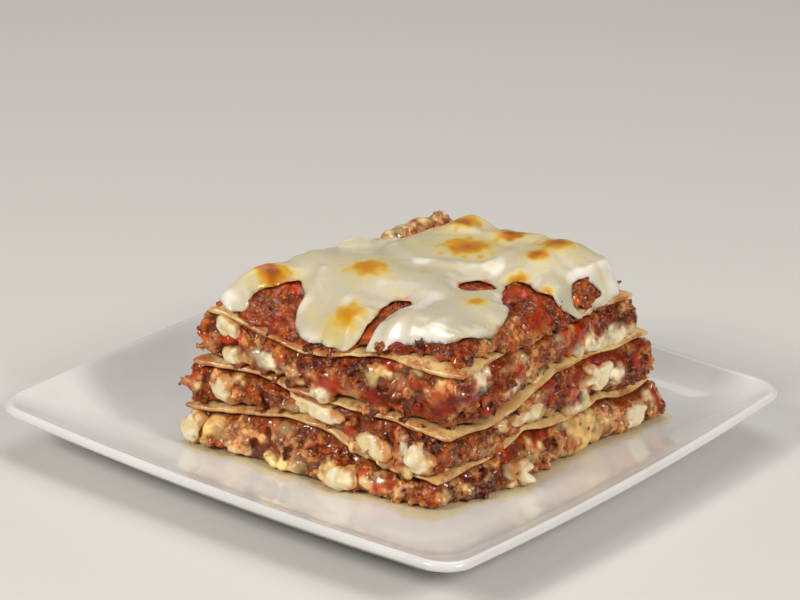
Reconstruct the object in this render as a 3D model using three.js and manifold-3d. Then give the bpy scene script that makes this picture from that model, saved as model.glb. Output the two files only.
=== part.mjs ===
// A cut slice of lasagne on its square porcelain plate, in millimetres, +Z up.
// The origin is the middle of the plate on the table, and the plate's sides run along X and Y.
//
// The slice is described in its own coordinates: `across` runs from -1 at the left cut face to 1 at
// the right one, `along` from -1 at the front cut face to 1 at the back one, and a height is counted
// from the plate's well. Every layer is bounded by the middle surfaces of the pasta sheets, and those
// surfaces share one grid, so the layers lie on each other with an even gap.

import * as THREE from "three";
import { mergeVertices } from "three/addons/utils/BufferGeometryUtils.js";
import Module from "manifold-3d";

const wasm = await Module();
wasm.setup();

// ---------------------------------------------------------------- driving dimensions

const GAP = 0.3; // between pieces that lie on each other
const CUT_GAP = 0.42; // round a lump that is let into its filling, whose flat facets come closer
const WELD = 1e-4; // points closer than this are one
const SEED = 20;

const PLATE = {
  halfSide: 95, // to the middle of the lip, at the corners
  sideBow: 2.4, // how far each side bulges at its middle
  cornerRadius: 11.3,
  innerRounding: 0.35, // how much rounder the corners get, for each millimetre inside the lip
  lipRadius: 1.75,
  lipHeight: 16.2, // the middle of the lip, above the table
  cornerRise: 0.6, // how much higher the lip is at the corners
  wellHalf: 70, // the flat part of the well
  wellTop: 8,
  riseExponent: 1.9, // the curve from the well up to the lip
  wall: 4,
  footHalf: 58,
  footWidth: 4,
  footTaper: 1.5,
  innerStations: [70, 75, 80, 85, 90, 93], // distances from the middle where the section bends
  outerStations: [90, 84, 78, 71],
  cornerSteps: 5,
  sideSteps: 4,
};
const LIP_ARC = { from: 90, to: -60, step: 37.5 }; // degrees round the lip, from its top to underneath

// The corners of the slice, X and Y, at the well and at CORNER_HEIGHT above it.
const CORNERS = {
  leftFront: { foot: [-41, -59], head: [-36, -54] },
  rightFront: { foot: [53, -49], head: [57.5, -41.5] },
  rightBack: { foot: [67, 66], head: [58, 52.5] },
  leftBack: { foot: [-26, 56], head: [-22, 50] },
};
const CORNER_HEIGHT = 48;
const GRID = { across: 9, along: 11, rim: 2 }; // cells, and rim points for each cell
const OVERHANG = [0.012, 0.034]; // how far a sheet's edge stands out, in slice coordinates

const SHEET_THICKNESS = 2.4;
// The middle surface of each sheet: its height, its slopes, and the waves it lies in.
const SHEETS = [
  {
    name: "pasta_sheet_1",
    height: 17,
    slopeAcross: -1.8,
    slopeAlong: 4,
    waves: [
      { across: -0.11, along: -0.85, rise: 6.3, reach: 0.46 },
      { across: 0.8, along: -1.15, rise: -1.4, reach: 0.7 },
      { across: 1, along: -0.25, rise: 2.6, reach: 0.14 },
      { across: 1, along: 0.78, rise: -5.6, reach: 0.24 },
      { across: -1, along: 0.25, rise: -3, reach: 0.4 },
      { across: 0.1, along: 1, rise: -4, reach: 0.4 },
    ],
  },
  {
    name: "pasta_sheet_2",
    height: 27.9,
    slopeAcross: 0.3,
    slopeAlong: 1.1,
    waves: [
      { across: -0.58, along: -1, rise: 3.2, reach: 0.35 },
      { across: 0.91, along: -0.55, rise: -6, reach: 0.35 },
      { across: 0.86, along: 0.05, rise: 4.9, reach: 0.7 },
      { across: -1, along: 0.5, rise: 3, reach: 0.35 },
      { across: -0.2, along: 1, rise: 3.5, reach: 0.3 },
    ],
  },
  {
    name: "pasta_sheet_3",
    height: 48.5,
    slopeAcross: -0.6,
    slopeAlong: -0.2,
    waves: [
      { across: -0.25, along: -1.15, rise: -7.9, reach: 0.49 },
      { across: 0.93, along: -0.59, rise: -1.3, reach: 0.14 },
      { across: -1, along: 0.3, rise: -2.5, reach: 0.4 },
      { across: 0.3, along: 1, rise: -3, reach: 0.35 },
    ],
  },
];

// The fillings' sides: crumbly relief, and the lowest filling's foot, which spreads on the plate.
const RELIEF = { bands: 3, stand: 0.5, swing: 1.3 };
const FOOT_SPREAD = [
  { across: 0.1, along: -1, out: 5, reach: 0.55 },
  { across: 1, along: -0.42, out: 7.5, reach: 0.34 },
];
const CRUMBS_A_FILLING = 10;
const CRUMB_RADIUS = [2.6, 3.6];
const CRUMB_SINK = 1.2; // how far a crumb's middle lies inside the relief
const CRUMB_BAND = [0.3, 0.7]; // the crumbs' heights in their filling, as a share of it
const CRUMB_FLATNESS = [0.7, 1];
const LUMP_UNEVENNESS = [0.88, 1.08];
const SPACE = { beyond: 0.33, slack: 0.06 }; // what the crumbs and lumps of a layer are cut to

// The meat sauce over the top sheet, which thins to its edges and down the shoulder at the front.
const SAUCE = {
  lift: 0.5, // over the sheet
  thickness: 6.5,
  least: 0.6,
  edgeShare: 0.25, // how much of an edge's ramp is already climbed at the cut face
  ramp: 0.09,
  shoulder: { across: -0.45, depth: 0.85, reach: 0.42, length: 0.34 },
};
// Where crumbs of meat show in the sauce: the patches' corners, across and along, and how many.
const SAUCE_CRUMBS = [
  { from: [-0.7, -0.98], to: [-0.48, -0.78], count: 3 },
  { from: [0.4, -1], to: [0.98, -0.98], count: 4 },
  { from: [0.74, -0.28], to: [0.99, 0.08], count: 6 },
  { from: [-0.98, 0.2], to: [-0.84, 0.96], count: 6 },
  { from: [0.98, 0.15], to: [1, 0.9], count: 3 },
];
const SAUCE_CRUMB_RADIUS = [2.6, 3.8];

const CHEESE = {
  thickness: 2.8,
  edgeThickness: 1.5,
  edgeWidth: 0.07,
  edgeShare: 0.3, // how much of the climb to the full thickness is done at the cut face
  reach: 1.06,
  drape: 0.4,
  outlineSteps: 90,
  holeSteps: 10,
};
// The melted cheese's outline and holes in slice coordinates, across and along.
const CHEESE_OUTLINE = [
  [-0.97, -0.99], [-0.86, -1.04], [-0.76, -1], [-0.76, -0.84], [-0.7, -0.64], [-0.55, -0.7],
  [-0.43, -0.86], [-0.35, -1.03], [-0.14, -1.06], [0.08, -1.05], [0.17, -0.98], [0.19, -0.82],
  [0.14, -0.58], [0.22, -0.54], [0.27, -0.72], [0.32, -0.98], [0.42, -1.04], [0.56, -1],
  [0.78, -0.99], [0.95, -0.93], [0.98, -0.72], [0.95, -0.46], [0.8, -0.3], [0.68, -0.14],
  [0.58, 0.05], [0.6, 0.16], [0.78, 0.12], [0.95, 0.1], [1.04, 0.3], [1.06, 0.55], [1.05, 0.84],
  [0.97, 0.97], [0.6, 1], [0.2, 0.98], [-0.2, 1.01], [-0.62, 0.97], [-0.72, 0.7], [-0.74, 0.3],
  [-0.88, 0.12], [-1, -0.1], [-1.02, -0.5],
];
const CHEESE_HOLES = [
  [[0.92, 0.52], [0.86, 0.4], [0.95, 0.3], [1, 0.42], [0.97, 0.62]],
  [[0.3, -0.12], [0.3, -0.02], [0.42, 0], [0.55, -0.05], [0.48, -0.14], [0.38, -0.18]],
];

// Lumps of ricotta that show in the cut faces: the filling each lies in, its place on the face, its
// height, and its half sizes along the face, out of it and upwards.
const Face = Object.freeze({ FRONT: "front", RIGHT: "right", BACK: "back", LEFT: "left" });
const RICOTTA = [
  { filling: 0, face: Face.FRONT, at: -0.95, height: 6, half: [4.8, 4.6, 6.2] },
  { filling: 0, face: Face.FRONT, at: 0.33, height: 4.6, half: [5.8, 5.6, 4.2] },
  { filling: 1, face: Face.FRONT, at: -0.82, height: 21.9, half: [6.4, 4, 4.4] },
  { filling: 1, face: Face.FRONT, at: -0.05, height: 23.2, half: [11, 3.6, 3.6] },
  { filling: 1, face: Face.FRONT, at: 0.47, height: 18.6, half: [8.6, 4.4, 5.6] },
  { filling: 1, face: Face.FRONT, at: 0.82, height: 17, half: [6.4, 6, 6] },
  { filling: 2, face: Face.FRONT, at: -0.84, height: 42.6, half: [5.6, 4, 3.4] },
  { filling: 2, face: Face.FRONT, at: -0.76, height: 34.8, half: [5.2, 4, 3.2] },
  { filling: 1, face: Face.RIGHT, at: 0.5, height: 24.3, half: [13, 4.4, 4.8] },
  { filling: 0, face: Face.RIGHT, at: 0.72, height: 6, half: [7, 5, 4.2] },
  { filling: 0, face: Face.RIGHT, at: -0.4, height: 4, half: [4.4, 9.4, 3.8] },
  { filling: 1, face: Face.RIGHT, at: -0.19, height: 22, half: [9, 3.8, 3.4] },
  { filling: 2, face: Face.BACK, at: 0.3, height: 36, half: [7, 4.2, 4.4] },
  { filling: 1, face: Face.LEFT, at: 0.1, height: 20.5, half: [6.2, 4.2, 4] },
];

// How a lump's middle follows the spread foot, and how it sits in its face.
const RICOTTA_FIT = { spreadShare: 0.75, stand: 1.2, sunkShare: 0.5 };

// ---------------------------------------------------------------- finishes

const finish = (color, roughness) =>
  new THREE.MeshStandardMaterial({ color, roughness, metalness: 0 });
const PORCELAIN = finish(0xece9e4, 0.15);
const PASTA = finish(0xe3cf9c, 0.4);
const MEAT_FILLING = finish(0x9c4a26, 0.55);
const MEAT_SAUCE = finish(0x8a3a20, 0.45);
const RICOTTA_WHITE = finish(0xefe6cf, 0.5);
const MELTED_CHEESE = finish(0xebe4c8, 0.3);

// ---------------------------------------------------------------- small tools

/** Seeded random numbers, the same on every run. */
class Dice {
  constructor(seed) {
    this.state = seed >>> 0;
  }

  next() {
    this.state = (this.state + 0x6d2b79f5) >>> 0;
    let word = Math.imul(this.state ^ (this.state >>> 15), 1 | this.state);
    word ^= word + Math.imul(word ^ (word >>> 7), 61 | word);
    return ((word ^ (word >>> 14)) >>> 0) / 2 ** 32;
  }

  between(low, high) {
    return low + (high - low) * this.next();
  }
}

/** A skin of triangles under construction. */
class Skin {
  constructor() {
    this.points = [];
    this.faces = [];
  }

  point(position) {
    this.points.push(position.x, position.y, position.z);
    return this.points.length / 3 - 1;
  }

  triangle(a, b, c) {
    this.faces.push(a, b, c);
  }

  /** Two triangles, split from a to c. */
  quad(a, b, c, d) {
    this.triangle(a, b, c);
    this.triangle(a, c, d);
  }

  geometry() {
    const geometry = new THREE.BufferGeometry();
    geometry.setAttribute("position", new THREE.Float32BufferAttribute(this.points, 3));
    geometry.setIndex(this.faces);
    return geometry;
  }
}

const smooth = (value) => THREE.MathUtils.smoothstep(value, 0, 1);
const bell = (distance, reach) => Math.exp(-((distance / reach) ** 2));
/** One name for a place in the slice, however it was worked out. */
const spotKey = (across, along) => [across, along].map((value) => Math.round(value * 1e4)).join();
const upBy = (point, height) => new THREE.Vector3(point.x, point.y, point.z + height);

/** A geometry as a manifold-3d solid. */
function solidOf(geometry) {
  const bare = new THREE.BufferGeometry();
  bare.setAttribute("position", geometry.getAttribute("position"));
  if (geometry.index) bare.setIndex(geometry.index);
  const merged = mergeVertices(bare, WELD);
  return new wasm.Manifold(
    new wasm.Mesh({
      numProp: 3,
      vertProperties: new Float32Array(merged.attributes.position.array),
      triVerts: new Uint32Array(merged.index.array),
    }),
  );
}

/** The largest body of a manifold-3d solid as a geometry, without the scraps that a cut leaves. */
function geometryOf(solid) {
  const bodies = solid.decompose().sort((a, b) => b.volume() - a.volume());
  const mesh = bodies[0].getMesh();
  const geometry = new THREE.BufferGeometry();
  geometry.setAttribute("position", new THREE.BufferAttribute(mesh.vertProperties, 3));
  geometry.setIndex(new THREE.BufferAttribute(mesh.triVerts, 1));
  return geometry;
}

function piece(name, geometry, material) {
  const mesh = new THREE.Mesh(geometry, material);
  mesh.name = name;
  return mesh;
}

// ---------------------------------------------------------------- plate

/** The rounded, slightly bowed square at one distance from the plate's middle. */
function plateRing(halfSide, height) {
  const inset = Math.max(0, PLATE.halfSide - halfSide);
  const share = halfSide / PLATE.halfSide;
  const radius = PLATE.cornerRadius + inset * PLATE.innerRounding;
  const straight = halfSide - radius;
  const climbed = (halfSide - PLATE.wellHalf) / (PLATE.halfSide - PLATE.wellHalf);
  const lift = PLATE.cornerRise * smooth(climbed);
  const ring = [];
  for (let corner = 0; corner < 4; corner++) {
    const turn = (corner * Math.PI) / 2;
    const cos = Math.cos(turn);
    const sin = Math.sin(turn);
    const place = (x, y, z) => ring.push(new THREE.Vector3(x * cos - y * sin, x * sin + y * cos, z));
    for (let step = 1; step < PLATE.sideSteps; step++) {
      const y = straight * ((2 * step) / PLATE.sideSteps - 1);
      const bow = 1 - (y / straight) ** 2;
      place(halfSide + PLATE.sideBow * share * bow, y, height + lift * (1 - bow));
    }
    for (let step = 0; step <= PLATE.cornerSteps; step++) {
      const angle = (step / PLATE.cornerSteps) * (Math.PI / 2);
      place(straight + radius * Math.cos(angle), straight + radius * Math.sin(angle), height + lift);
    }
  }
  return ring;
}

/** The plate's section from the middle of its well, over the lip and back under it. */
function plateSection() {
  const { halfSide, lipRadius, lipHeight, wellHalf, wellTop, riseExponent } = PLATE;
  const { wall, footHalf, footWidth, footTaper } = PLATE;
  const section = [];
  const climb = (distance) => {
    const share = Math.max(0, (distance - wellHalf) / (halfSide - wellHalf));
    return wellTop + (lipHeight + lipRadius - wellTop) * share ** riseExponent;
  };
  for (const distance of PLATE.innerStations) section.push([distance, climb(distance)]);
  for (let angle = LIP_ARC.from; angle >= LIP_ARC.to; angle -= LIP_ARC.step) {
    const radians = THREE.MathUtils.degToRad(angle);
    section.push([halfSide + lipRadius * Math.cos(radians), lipHeight + lipRadius * Math.sin(radians)]);
  }
  for (const distance of PLATE.outerStations) section.push([distance, climb(distance) - wall]);
  section.push([footHalf + footTaper, wellTop - wall]);
  section.push([footHalf, 0]);
  section.push([footHalf - footWidth, 0]);
  section.push([footHalf - footWidth - footTaper, wellTop - wall]);
  return section;
}

function plateGeometry() {
  const skin = new Skin();
  const section = plateSection();
  const rings = section.map(([distance, height]) => plateRing(distance, height).map((p) => skin.point(p)));
  const count = rings[0].length;
  for (let level = 0; level + 1 < rings.length; level++)
    for (let k = 0; k < count; k++) {
      const next = (k + 1) % count;
      skin.quad(rings[level][k], rings[level + 1][k], rings[level + 1][next], rings[level][next]);
    }
  const top = skin.point(new THREE.Vector3(0, 0, PLATE.wellTop));
  const bottom = skin.point(new THREE.Vector3(0, 0, PLATE.wellTop - PLATE.wall));
  const last = rings[rings.length - 1];
  for (let k = 0; k < count; k++) {
    const next = (k + 1) % count;
    skin.triangle(top, rings[0][k], rings[0][next]);
    skin.triangle(bottom, last[next], last[k]);
  }
  return skin.geometry();
}

// ---------------------------------------------------------------- slice coordinates

/** The point of the slice at across, along and a height above the well. */
function placeInSlice(across, along, height) {
  const share = height / CORNER_HEIGHT;
  const corner = ({ foot, head }) => foot.map((value, axis) => value + (head[axis] - value) * share);
  const weights = [
    [CORNERS.leftFront, ((1 - across) * (1 - along)) / 4],
    [CORNERS.rightFront, ((1 + across) * (1 - along)) / 4],
    [CORNERS.rightBack, ((1 + across) * (1 + along)) / 4],
    [CORNERS.leftBack, ((1 - across) * (1 + along)) / 4],
  ];
  let x = 0;
  let y = 0;
  for (const [column, weight] of weights) {
    const [cornerX, cornerY] = corner(column);
    x += cornerX * weight;
    y += cornerY * weight;
  }
  return new THREE.Vector3(x, y, PLATE.wellTop + height);
}

/** The height of a sheet's middle surface above the well. */
function sheetHeight(sheet, across, along) {
  let height = sheet.height + sheet.slopeAcross * across + sheet.slopeAlong * along;
  for (const wave of sheet.waves)
    height += wave.rise * bell(Math.hypot(across - wave.across, along - wave.along), wave.reach);
  return height;
}

/** The grid values from -1 to 1, with one more beyond each end. */
function gridLines(cells, beyond) {
  const lines = [-1 - beyond];
  for (let i = 0; i <= cells; i++) lines.push((2 * i) / cells - 1);
  lines.push(1 + beyond);
  return lines;
}

/** A surface through the slice, flat inside each grid triangle. */
class LayerSurface {
  constructor(heightAt) {
    this.nodes = [];
    for (let i = 0; i <= GRID.across; i++) {
      const across = (2 * i) / GRID.across - 1;
      const row = [];
      for (let j = 0; j <= GRID.along; j++) {
        const along = (2 * j) / GRID.along - 1;
        row.push(placeInSlice(across, along, heightAt(across, along)));
      }
      this.nodes.push(row);
    }
    this.heightAt = heightAt;
  }

  /** The surface's point, worked out past the cut faces from the height itself. */
  at(across, along) {
    if (Math.max(Math.abs(across), Math.abs(along)) > 1)
      return placeInSlice(across, along, this.heightAt(across, along));
    const u = ((across + 1) / 2) * GRID.across;
    const v = ((along + 1) / 2) * GRID.along;
    const i = Math.min(GRID.across - 1, Math.floor(u + WELD));
    const j = Math.min(GRID.along - 1, Math.floor(v + WELD));
    const s = u - i;
    const t = v - j;
    const near = this.nodes[i][j];
    const far = this.nodes[i + 1][j + 1];
    const side = s >= t ? this.nodes[i + 1][j] : this.nodes[i][j + 1];
    return near
      .clone()
      .addScaledVector(side.clone().sub(near), Math.max(s, t))
      .addScaledVector(far.clone().sub(side), Math.min(s, t));
  }
}

const WELL_FLOOR = new LayerSurface(() => 0);
const SHEET_SURFACES = SHEETS.map((sheet) => new LayerSurface((a, b) => sheetHeight(sheet, a, b)));
const HALF_SHEET = SHEET_THICKNESS / 2;

/** A slab between two point functions over a grid of across and along values. */
function slab(acrossLines, alongLines, topAt, bottomAt) {
  const skin = new Skin();
  const lay = (pointAt) => acrossLines.map((a) => alongLines.map((b) => skin.point(pointAt(a, b))));
  const top = lay(topAt);
  const bottom = lay(bottomAt);
  const lastI = acrossLines.length - 1;
  const lastJ = alongLines.length - 1;
  for (let i = 0; i < lastI; i++)
    for (let j = 0; j < lastJ; j++) {
      skin.quad(top[i][j], top[i + 1][j], top[i + 1][j + 1], top[i][j + 1]);
      skin.triangle(bottom[i][j], bottom[i + 1][j + 1], bottom[i + 1][j]);
      skin.triangle(bottom[i][j], bottom[i][j + 1], bottom[i + 1][j + 1]);
    }
  const wall = (i0, j0, i1, j1) => skin.quad(bottom[i0][j0], bottom[i1][j1], top[i1][j1], top[i0][j0]);
  for (let i = 0; i < lastI; i++) {
    wall(i, 0, i + 1, 0);
    wall(i + 1, lastJ, i, lastJ);
  }
  for (let j = 0; j < lastJ; j++) {
    wall(lastI, j, lastI, j + 1);
    wall(0, j + 1, 0, j);
  }
  return skin.geometry();
}

// ---------------------------------------------------------------- pasta sheets

/** A boiled pasta sheet, whose cut edges stand out of the slice by an uneven amount. */
function pastaSheetGeometry(surface, dice) {
  const beyond = () => dice.between(...OVERHANG);
  const mean = (OVERHANG[0] + OVERHANG[1]) / 2;
  const edges = new Map();
  const uneven = (across, along) => {
    const key = spotKey(across, along);
    if (!edges.has(key)) {
      const stretch = (value) => (Math.abs(value) > 1 ? Math.sign(value) * (1 + beyond()) : value);
      edges.set(key, surface.at(stretch(across), stretch(along)));
    }
    return edges.get(key);
  };
  return slab(
    gridLines(GRID.across, mean),
    gridLines(GRID.along, mean),
    (a, b) => upBy(uneven(a, b), HALF_SHEET),
    (a, b) => upBy(uneven(a, b), -HALF_SHEET),
  );
}

// ---------------------------------------------------------------- fillings

/** The rim of the slice as a closed walk of [across, along], counter-clockwise from above. */
function rimWalk() {
  const walk = [];
  const acrossSteps = GRID.across * GRID.rim;
  const alongSteps = GRID.along * GRID.rim;
  for (let k = 0; k < acrossSteps; k++) walk.push([(2 * k) / acrossSteps - 1, -1]);
  for (let k = 0; k < alongSteps; k++) walk.push([1, (2 * k) / alongSteps - 1]);
  for (let k = 0; k < acrossSteps; k++) walk.push([1 - (2 * k) / acrossSteps, 1]);
  for (let k = 0; k < alongSteps; k++) walk.push([-1, 1 - (2 * k) / alongSteps]);
  return walk;
}
const RIM = rimWalk();

/** The direction out of the slice at a rim point. */
function outwards(across, along) {
  const middle = placeInSlice(across, along, 0);
  const tilt = new THREE.Vector3(
    Math.abs(across) === 1 ? across : 0,
    Math.abs(along) === 1 ? along : 0,
    0,
  );
  const beyond = placeInSlice(across + tilt.x, along + tilt.y, 0);
  return beyond.sub(middle).normalize();
}

/** A layer's end cap: the grid's triangles, with the rim's extra points on the outer edges. */
function addCap(skin, rimPoints, pointAt, facesUp) {
  const inner = new Map();
  const rimIndex = new Map(RIM.map(([a, b], k) => [spotKey(a, b), rimPoints[k]]));
  const across = (i) => (2 * i) / GRID.across - 1;
  const along = (j) => (2 * j) / GRID.along - 1;
  const at = (a, b) => {
    const key = spotKey(a, b);
    if (rimIndex.has(key)) return rimIndex.get(key);
    if (!inner.has(key)) inner.set(key, skin.point(pointAt(a, b)));
    return inner.get(key);
  };
  const onRim = (p, q) => [0, 1].some((axis) => Math.abs(p[axis]) === 1 && p[axis] === q[axis]);
  const fill = (corners) => {
    const sides = [0, 1, 2].map((k) => onRim(corners[k], corners[(k + 1) % 3]));
    const rimSides = sides.filter(Boolean).length;
    const loop = [];
    corners.forEach((corner, k) => {
      const next = corners[(k + 1) % 3];
      const steps = sides[k] ? GRID.rim : 1;
      for (let step = 0; step < steps; step++) {
        const share = step / steps;
        loop.push(corner.map((value, axis) => value + (next[axis] - value) * share));
      }
    });
    let apex = loop[0];
    if (rimSides === 1) apex = corners[(sides.indexOf(true) + 2) % 3];
    if (rimSides === 2) apex = [0, 1].map((axis) => corners.reduce((sum, p) => sum + p[axis], 0) / 3);
    loop.forEach((start, k) => {
      const end = loop[(k + 1) % loop.length];
      const same = (p) => p[0] === apex[0] && p[1] === apex[1];
      if (same(start) || same(end)) return;
      const tip = at(...apex);
      if (facesUp) skin.triangle(tip, at(...start), at(...end));
      else skin.triangle(tip, at(...end), at(...start));
    });
  };
  for (let i = 0; i < GRID.across; i++)
    for (let j = 0; j < GRID.along; j++) {
      const near = [across(i), along(j)];
      const right = [across(i + 1), along(j)];
      const far = [across(i + 1), along(j + 1)];
      const left = [across(i), along(j + 1)];
      fill([near, right, far]);
      fill([near, far, left]);
    }
}

/** How far the lowest filling's foot has spread on the plate at a rim point. */
function footSpread(across, along) {
  return FOOT_SPREAD.reduce(
    (out, spread) =>
      out + spread.out * bell(Math.hypot(across - spread.across, along - spread.along), spread.reach),
    0,
  );
}

/** A layer with a cap below, a cap above and crumbly sides between them. */
function layerGeometry(bottomAt, topAt, sidePush) {
  const skin = new Skin();
  const rows = [];
  for (let band = 0; band <= RELIEF.bands; band++) {
    const share = band / RELIEF.bands;
    rows.push(
      RIM.map(([across, along]) => {
        const point = bottomAt(across, along).lerp(topAt(across, along), share);
        point.addScaledVector(outwards(across, along), sidePush(across, along, share));
        return skin.point(point);
      }),
    );
  }
  for (let band = 0; band < RELIEF.bands; band++)
    RIM.forEach((_, k) => {
      const next = (k + 1) % RIM.length;
      skin.quad(rows[band][k], rows[band][next], rows[band + 1][next], rows[band + 1][k]);
    });
  addCap(skin, rows[0], bottomAt, false);
  addCap(skin, rows[RELIEF.bands], topAt, true);
  return skin.geometry();
}

/** A lump: an icosahedron with uneven corners, stretched to its half sizes and turned about Z. */
function lumpGeometry(centre, half, turn, detail, dice, grow = 0) {
  const geometry = new THREE.IcosahedronGeometry(1, detail);
  geometry.deleteAttribute("normal");
  geometry.deleteAttribute("uv");
  const lump = mergeVertices(geometry, WELD);
  const position = lump.getAttribute("position");
  const point = new THREE.Vector3();
  const stretch = new THREE.Vector3(...half).addScalar(grow);
  for (let k = 0; k < position.count; k++) {
    point.fromBufferAttribute(position, k).multiply(stretch);
    point.multiplyScalar(dice.between(...LUMP_UNEVENNESS));
    position.setXYZ(k, point.x, point.y, point.z);
  }
  lump.rotateZ(turn);
  lump.translate(centre.x, centre.y, centre.z);
  return lump;
}

/** A crumb of meat: where it sits and the draws that shape it. */
function drawCrumb(centre, radii, dice) {
  const radius = dice.between(...radii);
  return {
    centre,
    half: [radius, radius, radius * dice.between(...CRUMB_FLATNESS)],
    turn: dice.between(0, Math.PI),
    seed: Math.floor(dice.between(1, 1e6)),
  };
}

/** A crumb as a solid, grown by a margin where a neighbour has to stay clear of it. */
function crumbSolid({ centre, half, turn, seed }, grow = 0) {
  return solidOf(lumpGeometry(centre, half, turn, 0, new Dice(seed), grow));
}

/** The space between two surfaces, wider than the slice, that crumbs and lumps are cut to. */
function fillingSpace(bottomAt, topAt) {
  return solidOf(
    slab(
      gridLines(GRID.across, SPACE.beyond),
      gridLines(GRID.along, SPACE.beyond),
      (a, b) => upBy(topAt(a, b), SPACE.slack),
      (a, b) => upBy(bottomAt(a, b), -SPACE.slack),
    ),
  );
}

/** Where a lump sits: its middle and how far it is turned, from its face and place. */
function ricottaPlace({ face, at, height, filling, half }) {
  const spots = {
    [Face.FRONT]: [at, -1],
    [Face.RIGHT]: [1, at],
    [Face.BACK]: [at, 1],
    [Face.LEFT]: [-1, at],
  };
  const [across, along] = spots[face];
  const out = outwards(across, along);
  const spread = filling === 0 ? footSpread(across, along) * RICOTTA_FIT.spreadShare : 0;
  const stand = spread + RICOTTA_FIT.stand - half[1] * RICOTTA_FIT.sunkShare;
  const centre = placeInSlice(across, along, height).addScaledVector(out, stand);
  return { centre, turn: Math.atan2(out.y, out.x) - Math.PI / 2 };
}

/** One filling with fused crumbs, and the ricotta lumps that are let into it. */
function fillingPieces(index) {
  const dice = new Dice(SEED + index);
  const lower = index === 0 ? WELL_FLOOR : SHEET_SURFACES[index - 1];
  const upper = SHEET_SURFACES[index];
  const lowerLift = (index === 0 ? 0 : HALF_SHEET) + GAP;
  const upperDrop = HALF_SHEET + GAP;
  const bottomAt = (a, b) => upBy(lower.at(a, b), lowerLift);
  const topAt = (a, b) => upBy(upper.at(a, b), -upperDrop);
  const push = (across, along, share) => {
    const spread = index === 0 ? footSpread(across, along) * (1 - share) ** 1.5 : 0;
    if (share === 0 || share === 1) return spread;
    return spread + RELIEF.stand + dice.between(-1, 1) * RELIEF.swing;
  };
  const space = fillingSpace(bottomAt, topAt);
  let filling = solidOf(layerGeometry(bottomAt, topAt, push));
  for (let k = 0; k < CRUMBS_A_FILLING; k++) {
    const [across, along] = RIM[Math.floor(((k + dice.next()) / CRUMBS_A_FILLING) * RIM.length)];
    const share = dice.between(...CRUMB_BAND);
    const centre = bottomAt(across, along).lerp(topAt(across, along), share);
    centre.addScaledVector(outwards(across, along), push(across, along, share) - CRUMB_SINK);
    filling = filling.add(crumbSolid(drawCrumb(centre, CRUMB_RADIUS, dice)));
  }
  filling = filling.intersect(space);
  const pieces = [];
  RICOTTA.forEach((lump, k) => {
    if (lump.filling !== index) return;
    const { centre, turn } = ricottaPlace(lump);
    const seed = SEED * 7 + k;
    const grown = (grow) => solidOf(lumpGeometry(centre, lump.half, turn, 1, new Dice(seed), grow));
    filling = filling.subtract(grown(CUT_GAP));
    const name = `ricotta_${String(k + 1).padStart(2, "0")}`;
    pieces.push(piece(name, geometryOf(grown(0).intersect(space)), RICOTTA_WHITE));
  });
  pieces.unshift(piece(`filling_${index + 1}`, geometryOf(filling), MEAT_FILLING));
  return pieces;
}

// ---------------------------------------------------------------- meat sauce and melted cheese

/** The thickness of the meat sauce over the top sheet. */
function sauceThickness(across, along) {
  const { thickness, edgeShare, ramp, shoulder } = SAUCE;
  const climb = (distance) => smooth(distance / ramp + edgeShare);
  const edges = climb(1 - Math.abs(across)) * climb(1 - Math.abs(along));
  const fall = shoulder.depth * bell(across - shoulder.across, shoulder.reach);
  const sunk = fall * (1 - smooth((1 + along) / shoulder.length));
  return thickness * edges * (1 - sunk);
}

const TOP_SHEET = SHEET_SURFACES[SHEET_SURFACES.length - 1];

function sauceBottomAt(across, along) {
  return upBy(TOP_SHEET.at(across, along), HALF_SHEET + SAUCE.lift);
}

/** The sauce's top, and past the cut faces the surface that the cheese drapes over. */
function sauceTopAt(across, along) {
  const a = THREE.MathUtils.clamp(across, -1, 1);
  const b = THREE.MathUtils.clamp(along, -1, 1);
  const drape = a === across && b === along ? 0 : CHEESE.drape;
  return upBy(sauceBottomAt(across, along), Math.max(SAUCE.least, sauceThickness(a, b) - drape));
}

/** The grid values with one more line in each outer cell, where the sauce starts to thin. */
function rampLines(cells, beyond) {
  const extra = [SAUCE.ramp - 1, 1 - SAUCE.ramp];
  const lines = [...gridLines(cells, beyond), ...extra].sort((p, q) => p - q);
  return beyond > 0 ? lines : lines.slice(1, -1);
}

function drawSauceCrumbs() {
  const dice = new Dice(SEED * 5);
  return SAUCE_CRUMBS.flatMap(({ from, to, count }) =>
    Array.from({ length: count }, () => {
      const [across, along] = from.map((start, axis) => dice.between(start, to[axis]));
      return drawCrumb(sauceTopAt(across, along), SAUCE_CRUMB_RADIUS, dice);
    }),
  );
}

/** The meat sauce with its crumbs fused on, clear of the sheet below. */
function topSauceSolid(crumbs) {
  const lines = [rampLines(GRID.across, 0), rampLines(GRID.along, 0)];
  const layer = solidOf(slab(...lines, sauceTopAt, sauceBottomAt));
  const wide = [rampLines(GRID.across, SPACE.beyond), rampLines(GRID.along, SPACE.beyond)];
  const highAt = (a, b) => upBy(sauceBottomAt(a, b), CORNER_HEIGHT);
  const lowAt = (a, b) => upBy(sauceBottomAt(a, b), -SPACE.slack);
  const above = solidOf(slab(...wide, highAt, lowAt));
  return crumbs.reduce((sauce, crumb) => sauce.add(crumbSolid(crumb)), layer).intersect(above);
}

/** A prism through the slice's top, whose closed outline runs smoothly through slice coordinates. */
function outlinePrism(spots, steps) {
  const points = spots.map(([across, along]) => placeInSlice(across, along, CORNER_HEIGHT));
  const curve = new THREE.CatmullRomCurve3(points, true, "centripetal");
  const outline = curve.getSpacedPoints(steps).slice(0, -1);
  const shape = new THREE.Shape(outline.map((p) => new THREE.Vector2(p.x, p.y)));
  const prism = new THREE.ExtrudeGeometry(shape, { depth: CORNER_HEIGHT, bevelEnabled: false });
  prism.translate(0, 0, PLATE.wellTop + CORNER_HEIGHT / 2);
  return solidOf(prism);
}

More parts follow.
